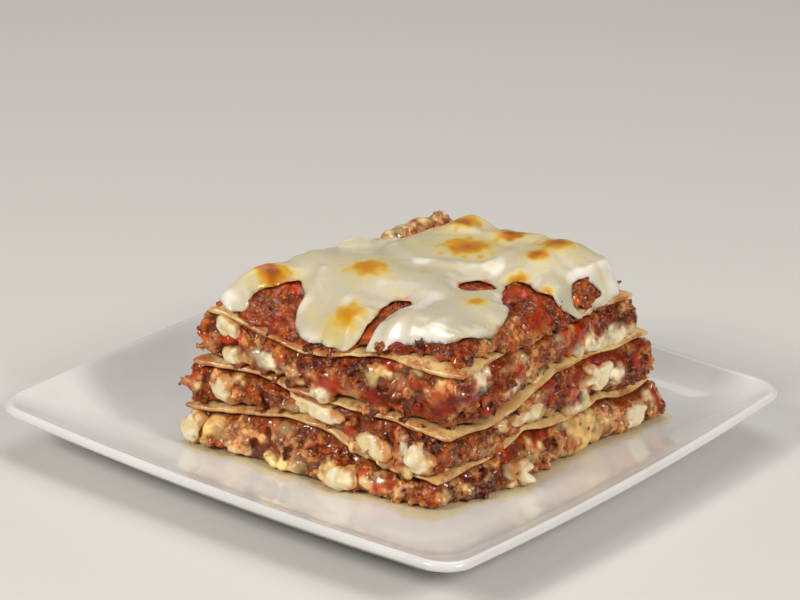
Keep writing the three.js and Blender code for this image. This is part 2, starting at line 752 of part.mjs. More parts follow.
/** The melted cheese: a slab draped on the sauce, cut to its outline, with its holes. */
function meltedCheeseSolid(crumbs) {
  const beyond = CHEESE.reach - 1;
  const topAt = (across, along) => {
    const inside = 1 - Math.max(Math.abs(across), Math.abs(along));
    const share = smooth(inside / CHEESE.edgeWidth + CHEESE.edgeShare);
    const thickness = CHEESE.edgeThickness + (CHEESE.thickness - CHEESE.edgeThickness) * share;
    return upBy(sauceTopAt(across, along), GAP + thickness);
  };
  const lines = [rampLines(GRID.across, beyond), rampLines(GRID.along, beyond)];
  const drape = solidOf(slab(...lines, topAt, (a, b) => upBy(sauceTopAt(a, b), GAP)));
  let cheese = drape.intersect(outlinePrism(CHEESE_OUTLINE, CHEESE.outlineSteps));
  for (const hole of CHEESE_HOLES) cheese = cheese.subtract(outlinePrism(hole, CHEESE.holeSteps));
  for (const crumb of crumbs) cheese = cheese.subtract(crumbSolid(crumb, CUT_GAP));
  return cheese;
}

// ---------------------------------------------------------------- the whole

const lasagne = new THREE.Group();
lasagne.name = "lasagne_slice_on_plate";
lasagne.add(piece("plate", plateGeometry(), PORCELAIN));
SHEETS.forEach((sheet, index) => {
  lasagne.add(...fillingPieces(index));
  const geometry = pastaSheetGeometry(SHEET_SURFACES[index], new Dice(SEED * 3 + index));
  lasagne.add(piece(sheet.name, geometry, PASTA));
});
const sauceCrumbs = drawSauceCrumbs();
lasagne.add(piece("top_sauce", geometryOf(topSauceSolid(sauceCrumbs)), MEAT_SAUCE));
lasagne.add(piece("melted_cheese", geometryOf(meltedCheeseSolid(sauceCrumbs)), MELTED_CHEESE));

export default lasagne;
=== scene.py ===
"""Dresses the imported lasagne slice: plate, wavy pasta, crumbly fillings, ricotta and melted cheese.

Shapes are worked out in millimetres, in the coordinates of the slice: `across` runs from -1 at the
left cut face to 1 at the right one, `along` from -1 at the front cut face to 1 at the back one, and
a height is counted from the plate's well. A piece's mesh is turned into metres as it is finished.
"""

import logging
import math
from collections.abc import Callable, Sequence
from dataclasses import dataclass, field
from enum import Enum, IntEnum

import bmesh
import bpy
import numpy as np
from mathutils import Matrix, Vector


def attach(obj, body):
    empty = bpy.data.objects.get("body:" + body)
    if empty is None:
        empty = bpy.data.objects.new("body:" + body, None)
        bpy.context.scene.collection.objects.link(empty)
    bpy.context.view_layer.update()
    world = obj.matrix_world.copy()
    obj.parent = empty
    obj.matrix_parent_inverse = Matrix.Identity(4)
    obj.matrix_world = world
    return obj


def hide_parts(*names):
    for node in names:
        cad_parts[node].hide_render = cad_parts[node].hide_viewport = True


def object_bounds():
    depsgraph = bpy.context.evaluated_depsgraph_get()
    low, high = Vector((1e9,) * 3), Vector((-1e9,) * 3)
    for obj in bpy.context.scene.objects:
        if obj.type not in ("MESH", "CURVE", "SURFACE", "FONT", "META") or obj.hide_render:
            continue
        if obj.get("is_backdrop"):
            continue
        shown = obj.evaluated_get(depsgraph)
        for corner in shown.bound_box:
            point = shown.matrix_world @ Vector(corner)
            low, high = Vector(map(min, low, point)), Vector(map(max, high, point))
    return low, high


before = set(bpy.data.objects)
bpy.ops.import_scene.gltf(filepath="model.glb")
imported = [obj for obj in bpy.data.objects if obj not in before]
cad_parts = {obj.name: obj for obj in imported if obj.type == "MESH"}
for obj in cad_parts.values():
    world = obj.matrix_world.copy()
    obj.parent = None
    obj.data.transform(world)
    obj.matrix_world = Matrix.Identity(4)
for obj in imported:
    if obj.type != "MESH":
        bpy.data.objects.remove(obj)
CAD_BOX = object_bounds()

LOG = logging.getLogger("lasagne_slice")
MM = 0.001
BODY = "root"
FULL_TURN = 6.283

Colour = tuple[float, float, float, float]
Array = np.ndarray
Points = np.ndarray
Dice = np.random.Generator
Socket = bpy.types.NodeSocket
Material = bpy.types.Material
Piece = bpy.types.Object


# ---------------------------------------------------------------- small tools


class Seed(IntEnum):
    """Where each kind of chance starts. The number of a layer, sheet or lump is added to it."""

    SAUCE_TINT = 40
    CRUMBS = 50
    PATCH_OUTLINE = 60
    CRUMB_STAND = 70
    CRUMB_TURN = 80
    TOP_SAUCE_TINT = 90
    TOP_CRUMBS = 91
    TOP_PATCH_OUTLINE = 92
    TOP_CRUMB_TURN = 93
    TOAST_OUTLINE = 100
    CHEESE_BILLOW = 101
    CHEESE_STAIN = 104
    CHEESE_WHITENESS = 105
    CHEESE_OUTLINE_X = 106
    CHEESE_OUTLINE_Y = 107
    CHEESE_RIM = 108
    LUMP_SHAPE = 110
    LUMP_KNOBS = 120
    LUMP_CURDS = 130
    LUMP_STAIN = 150
    OIL_REACH = 160
    OIL_EDGE = 161
    HERB = 170
    HERB_TURN = 171
    SHEET_EDGE = 300
    SHEET_DROOP = 310
    SHEET_SURFACE = 320
    SHEET_THICKNESS = 330
    SHEET_STAIN = 340


def paint(red: int, green: int, blue: int) -> Colour:
    """The linear colour of red, green and blue given as display values from 0 to 255."""
    linear = [((value / 255 + 0.055) / 1.055) ** 2.4 for value in (red, green, blue)]
    return (*linear, 1.0)


def smooth(value: Array | float) -> Array | float:
    """Smoothstep from 0 to 1."""
    held = np.clip(value, 0.0, 1.0)
    return held * held * (3 - 2 * held)


def ease(value: Array | float, start: float, width: float) -> Array | float:
    """Smoothstep that leaves 0 at a start and reaches 1 a width further on."""
    return smooth((value - start) / width)


def bell(distance: Array | float, reach: float) -> Array | float:
    """A bell curve of height 1 that has fallen to 1/e at its reach."""
    return np.exp(-((np.asarray(distance) / reach) ** 2))


def unit(vectors: Points) -> Points:
    """The vectors at length 1."""
    return vectors / np.linalg.norm(vectors, axis=-1, keepdims=True)


@dataclass(frozen=True)
class Ripple:
    """Smooth seeded unevenness of about one size: a sum of waves in random directions."""

    size: float
    seed: int
    waves: int = 14
    shortest: float = 0.6
    longest: float = 1.7

    def at(self, points: Points) -> Array:
        """The unevenness at points.

        Args:
            points: Positions in millimetres, with two or three coordinates.

        Returns:
            Values that mostly lie between -1 and 1.
        """
        dice = np.random.default_rng(self.seed)
        axes = points.shape[-1]
        turns = unit(dice.normal(size=(self.waves, axes)))
        lengths = self.size * dice.uniform(self.shortest, self.longest, size=(self.waves, 1))
        phases = dice.uniform(0, 2 * math.pi, size=self.waves)
        values = np.sin(points @ (turns * 2 * math.pi / lengths).T + phases)
        return values.sum(axis=-1) / math.sqrt(self.waves)


# ---------------------------------------------------------------- the slice's coordinates


class Face(Enum):
    """The four cut faces of the slice, with the step that leads out of each."""

    FRONT = (0, -1)
    RIGHT = (1, 0)
    BACK = (0, 1)
    LEFT = (-1, 0)

    def spot(self, at: Array | float) -> tuple[Array, Array]:
        """Across and along of a place on the face, from its place along the face."""
        at = np.asarray(at, float)
        across, along = self.value
        if across:
            return np.full_like(at, across), at
        return at, np.full_like(at, along)


@dataclass(frozen=True)
class Column:
    """A corner of the slice: its X and Y at the well and at the corner height."""

    foot: tuple[float, float]
    head: tuple[float, float]


@dataclass(frozen=True)
class SliceShape:
    """The space that the slice fills, between four leaning corners."""

    well_top: float = 8.0
    corner_height: float = 48.0
    left_front: Column = Column((-41, -59), (-36, -54))
    right_front: Column = Column((53, -49), (57.5, -41.5))
    right_back: Column = Column((67, 66), (56.6, 51.4))
    left_back: Column = Column((-26, 56), (-22, 50))

    def point(self, across: Array, along: Array, height: Array) -> Points:
        """The points at across, along and height, which are broadcast together."""
        across, along, height = np.broadcast_arrays(
            np.asarray(across, float), np.asarray(along, float), np.asarray(height, float)
        )
        share = height / self.corner_height
        weights = (
            (self.left_front, (1 - across) * (1 - along) / 4),
            (self.right_front, (1 + across) * (1 - along) / 4),
            (self.right_back, (1 + across) * (1 + along) / 4),
            (self.left_back, (1 - across) * (1 + along) / 4),
        )
        plan = [
            sum(weight * (column.foot[axis] + (column.head[axis] - column.foot[axis]) * share)
                for column, weight in weights)
            for axis in (0, 1)
        ]
        return np.stack([*plan, self.well_top + height], axis=-1)

    def outward(self, face: Face, at: Array, height: Array) -> Points:
        """Unit vectors that lead out of a cut face at places along it."""
        across, along = face.spot(at)
        step_across, step_along = face.value
        near = self.point(across, along, height)
        return unit(self.point(across + step_across, along + step_along, height) - near)

    def off_face(self, face: Face, at: Array, height: Array, stand: Array) -> Points:
        """Points that stand off a cut face, at places along it."""
        near = self.point(*face.spot(at), height)
        return near + self.outward(face, at, height) * np.asarray(stand)[..., None]

    def from_middle(self, across: Array, along: Array, height: Array) -> Points:
        """Unit vectors that lead away from the middle at places on the rim."""
        return unit(self.point(across * 1.2, along * 1.2, height) - self.point(across, along, height))

    def coordinates(self, plan: Points, height: Array | float) -> tuple[Array, Array]:
        """Across and along of plan positions at a height, by Newton's method.

        Args:
            plan: X and Y in millimetres.
            height: The height above the well at which the slice's corners are taken.

        Returns:
            Across and along.
        """
        across = np.zeros(plan.shape[:-1])
        along = np.zeros(plan.shape[:-1])
        step, rounds = 0.01, 7
        for _ in range(rounds):
            here = self.point(across, along, height)[..., :2]
            by_across = (self.point(across + step, along, height)[..., :2] - here) / step
            by_along = (self.point(across, along + step, height)[..., :2] - here) / step
            miss = plan - here
            area = by_across[..., 0] * by_along[..., 1] - by_across[..., 1] * by_along[..., 0]
            across = across + (miss[..., 0] * by_along[..., 1] - miss[..., 1] * by_along[..., 0]) / area
            along = along + (by_across[..., 0] * miss[..., 1] - by_across[..., 1] * miss[..., 0]) / area
        return across, along


SLICE = SliceShape()


@dataclass(frozen=True)
class Wave:
    """A hump or dip in a sheet of pasta."""

    across: float
    along: float
    rise: float
    reach: float


@dataclass(frozen=True)
class Flap:
    """Where a sheet's edge reaches further out, as a share of the slice, and hangs down."""

    across: float
    along: float
    reach: float
    out: float
    hang: float


@dataclass(frozen=True)
class SheetLie:
    """How a sheet of pasta lies and hangs, how pale cream leaves its right and how sauced its front is."""

    height: float
    slope_across: float
    slope_along: float
    waves: tuple[Wave, ...]
    flaps: tuple[Flap, ...]
    creamed: float
    sauced: float

    def middle(self, across: Array, along: Array) -> Array:
        """The height of the sheet's middle surface above the well."""
        height = self.height + self.slope_across * across + self.slope_along * along
        for wave in self.waves:
            height = height + wave.rise * bell(np.hypot(across - wave.across, along - wave.along), wave.reach)
        return height


SHEET_THICKNESS = 2.4
SHEETS = (
    SheetLie(17, -1.8, 4, (
        Wave(-0.11, -0.85, 6.3, 0.46), Wave(0.8, -1.15, -1.4, 0.7), Wave(1, -0.25, 2.6, 0.14),
        Wave(1, 0.78, -5.6, 0.24), Wave(-1, 0.25, -3, 0.4), Wave(0.1, 1, -4, 0.4),
    ), (
        Flap(-1, -1, 0.26, 0.05, 0.5), Flap(1, 0.2, 0.2, 0.02, 0.8), Flap(1, 0.72, 0.32, -0.06, 0.0),
    ), creamed=0.08, sauced=0.04),
    SheetLie(27.9, 0.3, 1.1, (
        Wave(-0.58, -1, 3.2, 0.35), Wave(0.91, -0.55, -6, 0.35), Wave(0.86, 0.05, 4.9, 0.7),
        Wave(-1, 0.5, 3, 0.35), Wave(-0.2, 1, 3.5, 0.3), Wave(1, 0.3, 1.7, 0.4), Wave(1, 1.05, 3.4, 0.35),
        Wave(-1.05, -1, 3.6, 0.28),
    ), (
        Flap(1, 0.15, 0.62, 0.032, 0.7), Flap(-0.95, -1, 0.22, 0.05, 0.4), Flap(1, -1, 0.3, 0.018, 0.5),
        Flap(1, 1, 0.14, 0.045, 0.0),
    ), creamed=0.2, sauced=0.34),
    SheetLie(48.5, -0.6, -0.2, (
        Wave(-0.25, -1.15, -7.9, 0.49), Wave(0.93, -0.59, -1.3, 0.14), Wave(-1, 0.3, -2.5, 0.4),
        Wave(0.3, 1, -3, 0.35),
    ), (
        Flap(0.8, -1, 0.34, 0.042, 1.5), Flap(1, 0.95, 0.24, 0.01, 0.4), Flap(-1, -1, 0.2, 0.02, 0.4),
        Flap(1, 1, 0.12, 0.03, 0.0),
    ), creamed=0.24, sauced=0.44),
)


@dataclass(frozen=True)
class Spread:
    """Where something has spread further out over the plate, in millimetres."""

    across: float
    along: float
    out: float
    reach: float


def spread_at(spreads: Sequence[Spread], across: Array, along: Array) -> Array:
    """How far some spreads reach out together at a place on the rim."""
    far = np.zeros(np.broadcast(across, along).shape)
    for s in spreads:
        far = far + s.out * bell(np.hypot(across - s.across, along - s.along), s.reach)
    return far


FOOT_SPREADS = (Spread(0.1, -1, 5, 0.55), Spread(1, -0.42, 7.5, 0.34), Spread(-0.8, -1, 3, 0.35))
BULGES = ((), (Spread(-1, -1, 5.4, 0.34), Spread(1, 0.95, 1.5, 0.3)), (Spread(-1, -1, 3, 0.34),))


def foot_spread(across: Array, along: Array) -> Array:
    """How far the lowest filling's foot stands out at a place on the rim."""
    return spread_at(FOOT_SPREADS, across, along)


# ---------------------------------------------------------------- meshes


def link(name: str, data: bpy.types.ID) -> Piece:
    """A new object of a mesh, light or camera, linked to the scene."""
    made = bpy.data.objects.new(name, data)
    bpy.context.scene.collection.objects.link(made)
    return made


@dataclass
class Mesh:
    """A mesh under construction, with tints and other values kept on its points."""

    points: Points
    faces: list[Sequence[int]]
    tints: Array | None = None
    values: dict[str, Array] = field(default_factory=dict)

    def finish(self, name: str, scale: float = MM) -> Piece:
        """The mesh as an object at the origin.

        Args:
            name: The object's name.
            scale: What one unit of the points is in the object's own units.

        Returns:
            The linked object.
        """
        mesh = bpy.data.meshes.new(name)
        mesh.from_pydata((np.asarray(self.points) * scale).tolist(), [], self.faces)
        if self.tints is not None:
            layer = mesh.attributes.new("tint", "FLOAT_COLOR", "POINT")
            layer.data.foreach_set("color", np.asarray(self.tints, np.float32).ravel())
        for key, value in self.values.items():
            kind = "FLOAT_VECTOR" if value.ndim == 2 else "FLOAT"
            layer = mesh.attributes.new(key, kind, "POINT")
            layer.data.foreach_set("vector" if value.ndim == 2 else "value", value.astype(np.float32).ravel())
        mesh.update()
        return link(name, mesh)


def rim_walk(rows: int, columns: int) -> list[tuple[int, int]]:
    """The outer grid places of a grid, counter-clockwise from above."""
    walk = [(i, 0) for i in range(rows - 1)]
    walk += [(rows - 1, j) for j in range(columns - 1)]
    walk += [(i, columns - 1) for i in range(rows - 1, 0, -1)]
    walk += [(0, j) for j in range(columns - 1, 0, -1)]
    return walk


def ring_faces(rings: int, count: int, closed: bool = False) -> list[Sequence[int]]:
    """The faces between rings of points, each ring with the next, and the last with the first if closed."""
    faces = []
    for ring in range(rings if closed else rings - 1):
        near, far = ring * count, (ring + 1) % rings * count
        for k in range(count):
            after = (k + 1) % count
            faces.append((near + k, far + k, far + after, near + after))
    return faces


def slice_grid(edge: float, rows: int, columns: int) -> tuple[Array, Array]:
    """Across and along of a grid that reaches to a share of the slice on every side."""
    return np.meshgrid(np.linspace(-edge, edge, rows), np.linspace(-edge, edge, columns), indexing="ij")


def closed_slab(
    top: Points, bottom: Points, wall: Callable[[Points, Points, float], Points], bands: int
) -> Mesh:
    """A closed slab between two grids of points.

    Args:
        top: Points of the upper surface, as rows and columns.
        bottom: Points of the lower surface, laid out alike.
        wall: Gives the points of a band of the wall from the rim's lower and upper points and the
            share of the climb.
        bands: How many bands the wall has.

    Returns:
        The slab.
    """
    rows, columns = top.shape[:2]
    count = rows * columns
    walk = rim_walk(rows, columns)
    rim = np.array([i * columns + j for i, j in walk])
    upper = top.reshape(-1, 3)
    lower = bottom.reshape(-1, 3)
    points = [upper, lower]
    bands_at = [rim + count]
    for band in range(1, bands):
        points.append(wall(lower[rim], upper[rim], band / bands))
        bands_at.append(np.arange(len(rim)) + 2 * count + (band - 1) * len(rim))
    bands_at.append(rim)
    faces = []
    for i in range(rows - 1):
        for j in range(columns - 1):
            a, b = i * columns + j, (i + 1) * columns + j
            faces.append((a, b, b + 1, a + 1))
            faces.append((count + a, count + a + 1, count + b + 1, count + b))
    for low, high in zip(bands_at[:-1], bands_at[1:]):
        for k in range(len(rim)):
            after = (k + 1) % len(rim)
            faces.append((int(low[k]), int(low[after]), int(high[after]), int(high[k])))
    return Mesh(np.concatenate(points), faces)


def straight_wall(low: Points, high: Points, share: float) -> Points:
    """A wall band on the straight line between the rims."""
    return low + (high - low) * share


def ball_points(detail: int) -> tuple[Points, list[Sequence[int]]]:
    """The points and faces of a subdivided icosahedron of radius 1."""
    ball = bmesh.new()
    bmesh.ops.create_icosphere(ball, subdivisions=detail, radius=1.0)
    points = np.array([v.co[:] for v in ball.verts])
    faces = [[v.index for v in f.verts] for f in ball.faces]
    ball.free()
    return points, faces


# ---------------------------------------------------------------- node trees


class Graph:
    """Builds a tree of nodes, for a material or for geometry."""

    def __init__(self, tree: bpy.types.NodeTree) -> None:
        """Starts on an empty tree."""
        self.tree = tree
        tree.nodes.clear()

    def node(self, kind: str, settings: dict | None = None, sockets: dict | None = None) -> bpy.types.Node:
        """Adds one node.

        Args:
            kind: The node's type.
            settings: Its properties, set first. A ramp's stops go under "stops".
            sockets: Values or links for its inputs, by name or by index.

        Returns:
            The node.
        """
        made = self.tree.nodes.new(kind)
        for key, value in (settings or {}).items():
            if key == "stops":
                self._stops(made.color_ramp, value)
            else:
                setattr(made, key, value)
        for key, value in (sockets or {}).items():
            self.feed(self._input(made, key), value)
        return made

    @staticmethod
    def _stops(ramp: bpy.types.ColorRamp, stops: Sequence[tuple[float, Colour]]) -> None:
        """Sets a ramp's stops."""
        while len(ramp.elements) < len(stops):
            ramp.elements.new(1.0)
        for element, (position, colour) in zip(ramp.elements, stops):
            element.position = position
            element.color = colour

    @staticmethod
    def _input(node: bpy.types.Node, key: str | int) -> Socket:
        """The enabled input with a name, or the one with an index."""
        if isinstance(key, int):
            return node.inputs[key]
        return next(socket for socket in node.inputs if socket.name == key and socket.enabled)

    @staticmethod
    def output(node: bpy.types.Node, name: str) -> Socket:
        """The enabled output with a name."""
        return next(socket for socket in node.outputs if socket.name == name and socket.enabled)

    def feed(self, socket: Socket, value: object) -> None:
        """Links a value's socket to an input, or sets the input."""
        if isinstance(value, Value):
            value = value.socket
        if isinstance(value, Socket):
            self.tree.links.new(value, socket)
        elif isinstance(value, (list, tuple)) and value and isinstance(value[0], Socket):
            for each in value:
                self.tree.links.new(each, socket)
        else:
            socket.default_value = value


@dataclass(frozen=True)
class Value:
    """A number that a shader works out, which takes part in sums as a number does."""

    graph: Graph
    socket: Socket

    def _math(self, operation: str, first: object, second: object, clamp: bool = False) -> "Value":
        """A Math node on two values."""
        settings = {"operation": operation, "use_clamp": clamp}
        made = self.graph.node("ShaderNodeMath", settings, {0: first, 1: second})
        return Value(self.graph, made.outputs[0])

    def __add__(self, other: object) -> "Value":
        """This and another."""
        return self._math("ADD", self, other)

    __radd__ = __add__

    def __sub__(self, other: object) -> "Value":
        """This less another."""
        return self._math("SUBTRACT", self, other)

    def __rsub__(self, other: object) -> "Value":
        """Another less this."""
        return self._math("SUBTRACT", other, self)

    def __mul__(self, other: object) -> "Value":
        """This times another."""
        return self._math("MULTIPLY", self, other)

    __rmul__ = __mul__

    def held(self) -> "Value":
        """This, held between 0 and 1."""
        return self._math("ADD", self, 0.0, clamp=True)


class Shader(Graph):
    """A material's nodes round one Principled shader."""

    def __init__(self, name: str, constants: dict) -> None:
        """Starts a material.

        Args:
            name: The material's name.
            constants: Values of the Principled shader that are the same all over.
        """
        self.material = bpy.data.materials.new(name)
        self.material.use_nodes = True
        super().__init__(self.material.node_tree)
        self.shader = self.node("ShaderNodeBsdfPrincipled", {}, constants)
        self.node("ShaderNodeOutputMaterial", {}, {"Surface": self.shader.outputs["BSDF"]})
        self.place = self.node("ShaderNodeTexCoord").outputs["Object"]

    def noise(self, size_mm: float, detail: float, roughness: float = 0.55) -> Value:
        """Noise with features of a size in millimetres."""
        sockets = {
            "Vector": self.place, "Scale": 1 / (size_mm * MM), "Detail": detail, "Roughness": roughness,
        }
        return Value(self, self.node("ShaderNodeTexNoise", {}, sockets).outputs["Fac"])

    def granules(self, size_mm: float) -> Value:
        """Distance from the nearest of scattered points a size apart, in shares of that size."""
        sockets = {"Vector": self.place, "Scale": 1 / (size_mm * MM)}
        return Value(self, self.node("ShaderNodeTexVoronoi", {}, sockets).outputs["Distance"])

    def attribute(self, name: str) -> bpy.types.Node:
        """A node that reads what is kept on the mesh's points under a name."""
        return self.node("ShaderNodeAttribute", {"attribute_name": name, "attribute_type": "GEOMETRY"})

    def kept(self, name: str) -> Value:
        """A number kept on the mesh's points."""
        return Value(self, self.attribute(name).outputs["Fac"])

    def kept_colour(self, name: str) -> Socket:
        """A colour kept on the mesh's points."""
        return self.attribute(name).outputs["Color"]

    def cloudy(
        self, value: Value, size_mm: float, swing: float, detail: float = 3.0, roughness: float = 0.55
    ) -> Value:
        """A value that noise of a size makes uneven, by half of a swing each way."""
        return value + (self.noise(size_mm, detail, roughness) - 0.5) * swing

    def band(self, value: Value, low: float, high: float, start: float = 0.0, end: float = 1.0) -> Value:
        """A value spread from low..high to start..end, and held there."""
        settings = {"clamp": True, "interpolation_type": "SMOOTHSTEP"}
        made = self.node("ShaderNodeMapRange", settings, {
            "Value": value, "From Min": low, "From Max": high, "To Min": start, "To Max": end,
        })
        return Value(self, made.outputs["Result"])

    def mix(self, factor: object, first: object, second: object, blend: str = "MIX") -> Socket:
        """Two colours mixed, by inputs 0, 6 and 7 of the Mix node."""
        settings = {"data_type": "RGBA", "blend_type": blend}
        return self.node("ShaderNodeMix", settings, {0: factor, 6: first, 7: second}).outputs[2]

    def ramp(self, value: Value, stops: Sequence[tuple[float, Colour]]) -> Socket:
        """A colour from a ramp."""
        return self.node("ShaderNodeValToRGB", {"stops": stops}, {"Fac": value}).outputs["Color"]

    def bump(self, height: Value, depth_mm: float, strength: float) -> None:
        """Feeds a bump of a height in millimetres to the shader's normal."""
        sockets = {"Height": height, "Distance": depth_mm * MM, "Strength": strength}
        self.feed(self.shader.inputs["Normal"], self.node("ShaderNodeBump", {}, sockets).outputs["Normal"])

    def dress(self, name: str, value: object) -> None:
        """Feeds one of the Principled shader's inputs."""
        self.feed(self.shader.inputs[name], value)

    def roughen(self, size_mm: float, least: float, most: float) -> None:
        """Feeds the shader's roughness, which wanders between two values."""
        self.dress("Roughness", self.band(self.noise(size_mm, 3), 0.3, 0.7, least, most))


class GeometryTree(Graph):
    """A Geometry Nodes tree with named inputs, which is run on an object once."""

    def __init__(self, name: str) -> None:
        """Starts a tree with one geometry in and one out."""
        tree = bpy.data.node_groups.new(name, "GeometryNodeTree")
        tree.interface.new_socket("Geometry", in_out="INPUT", socket_type="NodeSocketGeometry")
        tree.interface.new_socket("Geometry", in_out="OUTPUT", socket_type="NodeSocketGeometry")
        super().__init__(tree)
        self.source = self.node("NodeGroupInput")

    def asked(self, name: str, kind: str) -> Socket:
        """Adds a named input and gives its socket.

        Args:
            name: The input's name.
            kind: Its socket type, without the prefix NodeSocket.

        Returns:
            The socket inside the tree.
        """
        self.tree.interface.new_socket(name, in_out="INPUT", socket_type=f"NodeSocket{kind}")
        return self.source.outputs[name]

    def step(self, kind: str, settings: dict | None = None, sockets: dict | None = None) -> Socket:
        """Adds a node and gives its first enabled output."""
        made = self.node(kind, settings, sockets)
        return next(socket for socket in made.outputs if socket.enabled)

    def end(self, geometry: Socket, finish: Socket) -> None:
        """Realizes the geometry, sets its material and closes the tree."""
        real = self.step("GeometryNodeRealizeInstances", {}, {"Geometry": geometry})
        set_finish = self.step("GeometryNodeSetMaterial", {}, {"Geometry": real, "Material": finish})
        self.node("NodeGroupOutput", {}, {"Geometry": set_finish})

    def run(self, name: str, carrier: Piece, values: dict[str, object]) -> Piece:
        """Runs the tree on an object in millimetres and takes the result as a plain piece.

        Args:
            name: The piece's name.
            carrier: The object whose mesh goes in, which is removed afterwards.
            values: The named inputs. Objects among them are removed too.

        Returns:
            The piece, in metres.
        """
        modifier = carrier.modifiers.new(self.tree.name, "NODES")
        modifier.node_group = self.tree
        for item in self.tree.interface.items_tree:
            if item.in_out == "INPUT" and item.name in values:
                modifier[item.identifier] = values[item.name]
        carrier.update_tag()
        bpy.context.view_layer.update()
        graph = bpy.context.evaluated_depsgraph_get()
        mesh = bpy.data.meshes.new_from_object(
            carrier.evaluated_get(graph), preserve_all_data_layers=True, depsgraph=graph
        )
        carrier.modifiers.remove(modifier)
        mesh.transform(Matrix.Scale(MM, 4))
        mesh.name = name
        piece = link(name, mesh)
        for helper in (carrier, *(value for value in values.values() if isinstance(value, Piece))):
            data = helper.data
            bpy.data.objects.remove(helper)
            bpy.data.meshes.remove(data)
        return piece

    def chance(self, kind: str, low: object, high: object, seed: Socket) -> Socket:
        """A random value for each element."""
        limits = {"Min": low, "Max": high, "Seed": seed}
        return self.step("FunctionNodeRandomValue", {"data_type": kind}, limits)

    def tumbled(self, seed: Socket) -> Socket:
        """A random turn about all three axes for each element."""
        return self.chance("FLOAT_VECTOR", (0.0,) * 3, (FULL_TURN,) * 3, seed)

    def named(self, name: str, kind: str) -> Socket:
        """A named attribute as a field."""
        return self.step("GeometryNodeInputNamedAttribute", {"data_type": kind}, {"Name": name})

    def ball(self, radius: float, detail: int) -> Socket:
        """A ball of triangles."""
        return self.step("GeometryNodeMeshIcoSphere", {}, {"Radius": radius, "Subdivisions": detail})

    def moved(self, geometry: Socket, **by: Socket) -> Socket:
        """Geometry whose points have a new Position, or an Offset added."""
        return self.step("GeometryNodeSetPosition", {}, {"Geometry": geometry, **by})

    def lump(self, detail: int, scale: float, wrinkles: float, depth: float) -> Socket:
        """An uneven ball of radius about 1.

        Args:
            detail: How often the ball is subdivided.
            scale: The scale of the noise that swells it.
            wrinkles: The detail of that noise.
            depth: How far the noise reaches.

        Returns:
            The lump's geometry.
        """
        noise = {"Scale": scale, "Detail": wrinkles}
        swell = self.node("ShaderNodeTexNoise", {"noise_dimensions": "3D"}, noise)
        centred = self.step("ShaderNodeVectorMath", {"operation": "SUBTRACT"}, {
            0: swell.outputs["Color"], 1: (0.5, 0.5, 0.5),
        })
        offset = self.step("ShaderNodeVectorMath", {"operation": "SCALE"}, {0: centred, "Scale": depth})
        return self.moved(self.ball(1.0, detail), Offset=offset)


# ---------------------------------------------------------------- finishes


@dataclass(frozen=True)
class Porcelain:
    """White glaze over fired clay, a little warm, with a faint unevenness in its gloss."""

    glaze: Colour = paint(234, 235, 237)
    shade: Colour = paint(224, 225, 226)

    def make(self) -> Material:
        """Builds the material."""
        shader = Shader("porcelain_glaze", {"IOR": 1.5, "Coat Roughness": 0.03, "Coat IOR": 1.5})
        cloud = shader.noise(38, 3)
        shader.dress("Base Color", shader.mix(shader.band(cloud, 0.35, 0.7), self.glaze, self.shade))
        shader.roughen(9, 0.16, 0.24)
        shader.dress("Coat Weight", 0.6)
        shader.bump(shader.noise(16, 2), 0.05, 0.25)
        return shader.material


@dataclass(frozen=True)
class BoiledPasta:
    """Moist boiled pasta, cream-yellow, stained by the sauce that has run over it."""

    flesh: Colour = paint(222, 184, 118)
    pale: Colour = paint(238, 212, 150)
    tan: Colour = paint(206, 142, 72)
    stain: Colour = paint(176, 84, 24)

    def make(self) -> Material:
        """Builds the material, which reads how stained each point is."""
        shader = Shader("boiled_pasta", {
            "Subsurface Weight": 0.25, "Subsurface Radius": (1.0, 0.6, 0.3), "Subsurface Scale": 0.0018,
            "IOR": 1.42, "Coat Roughness": 0.12,
        })
        cloud = shader.band(shader.noise(6, 3), 0.35, 0.65)
        base = shader.mix(cloud, self.flesh, self.pale)
        tanned = shader.mix(shader.band(shader.noise(11, 4), 0.5, 0.72, 0, 0.6), base, self.tan)
        stained = shader.cloudy(shader.kept("stain"), 1.6, 1.5, 4, roughness=0.65)
        shader.dress("Base Color", shader.mix(shader.band(stained, 0.3, 1.0, 0, 0.85), tanned, self.stain))
        shader.roughen(3, 0.24, 0.42)
        shader.dress("Coat Weight", 0.35)
        shader.bump(shader.noise(1.6, 3), 0.12, 0.35)
        return shader.material


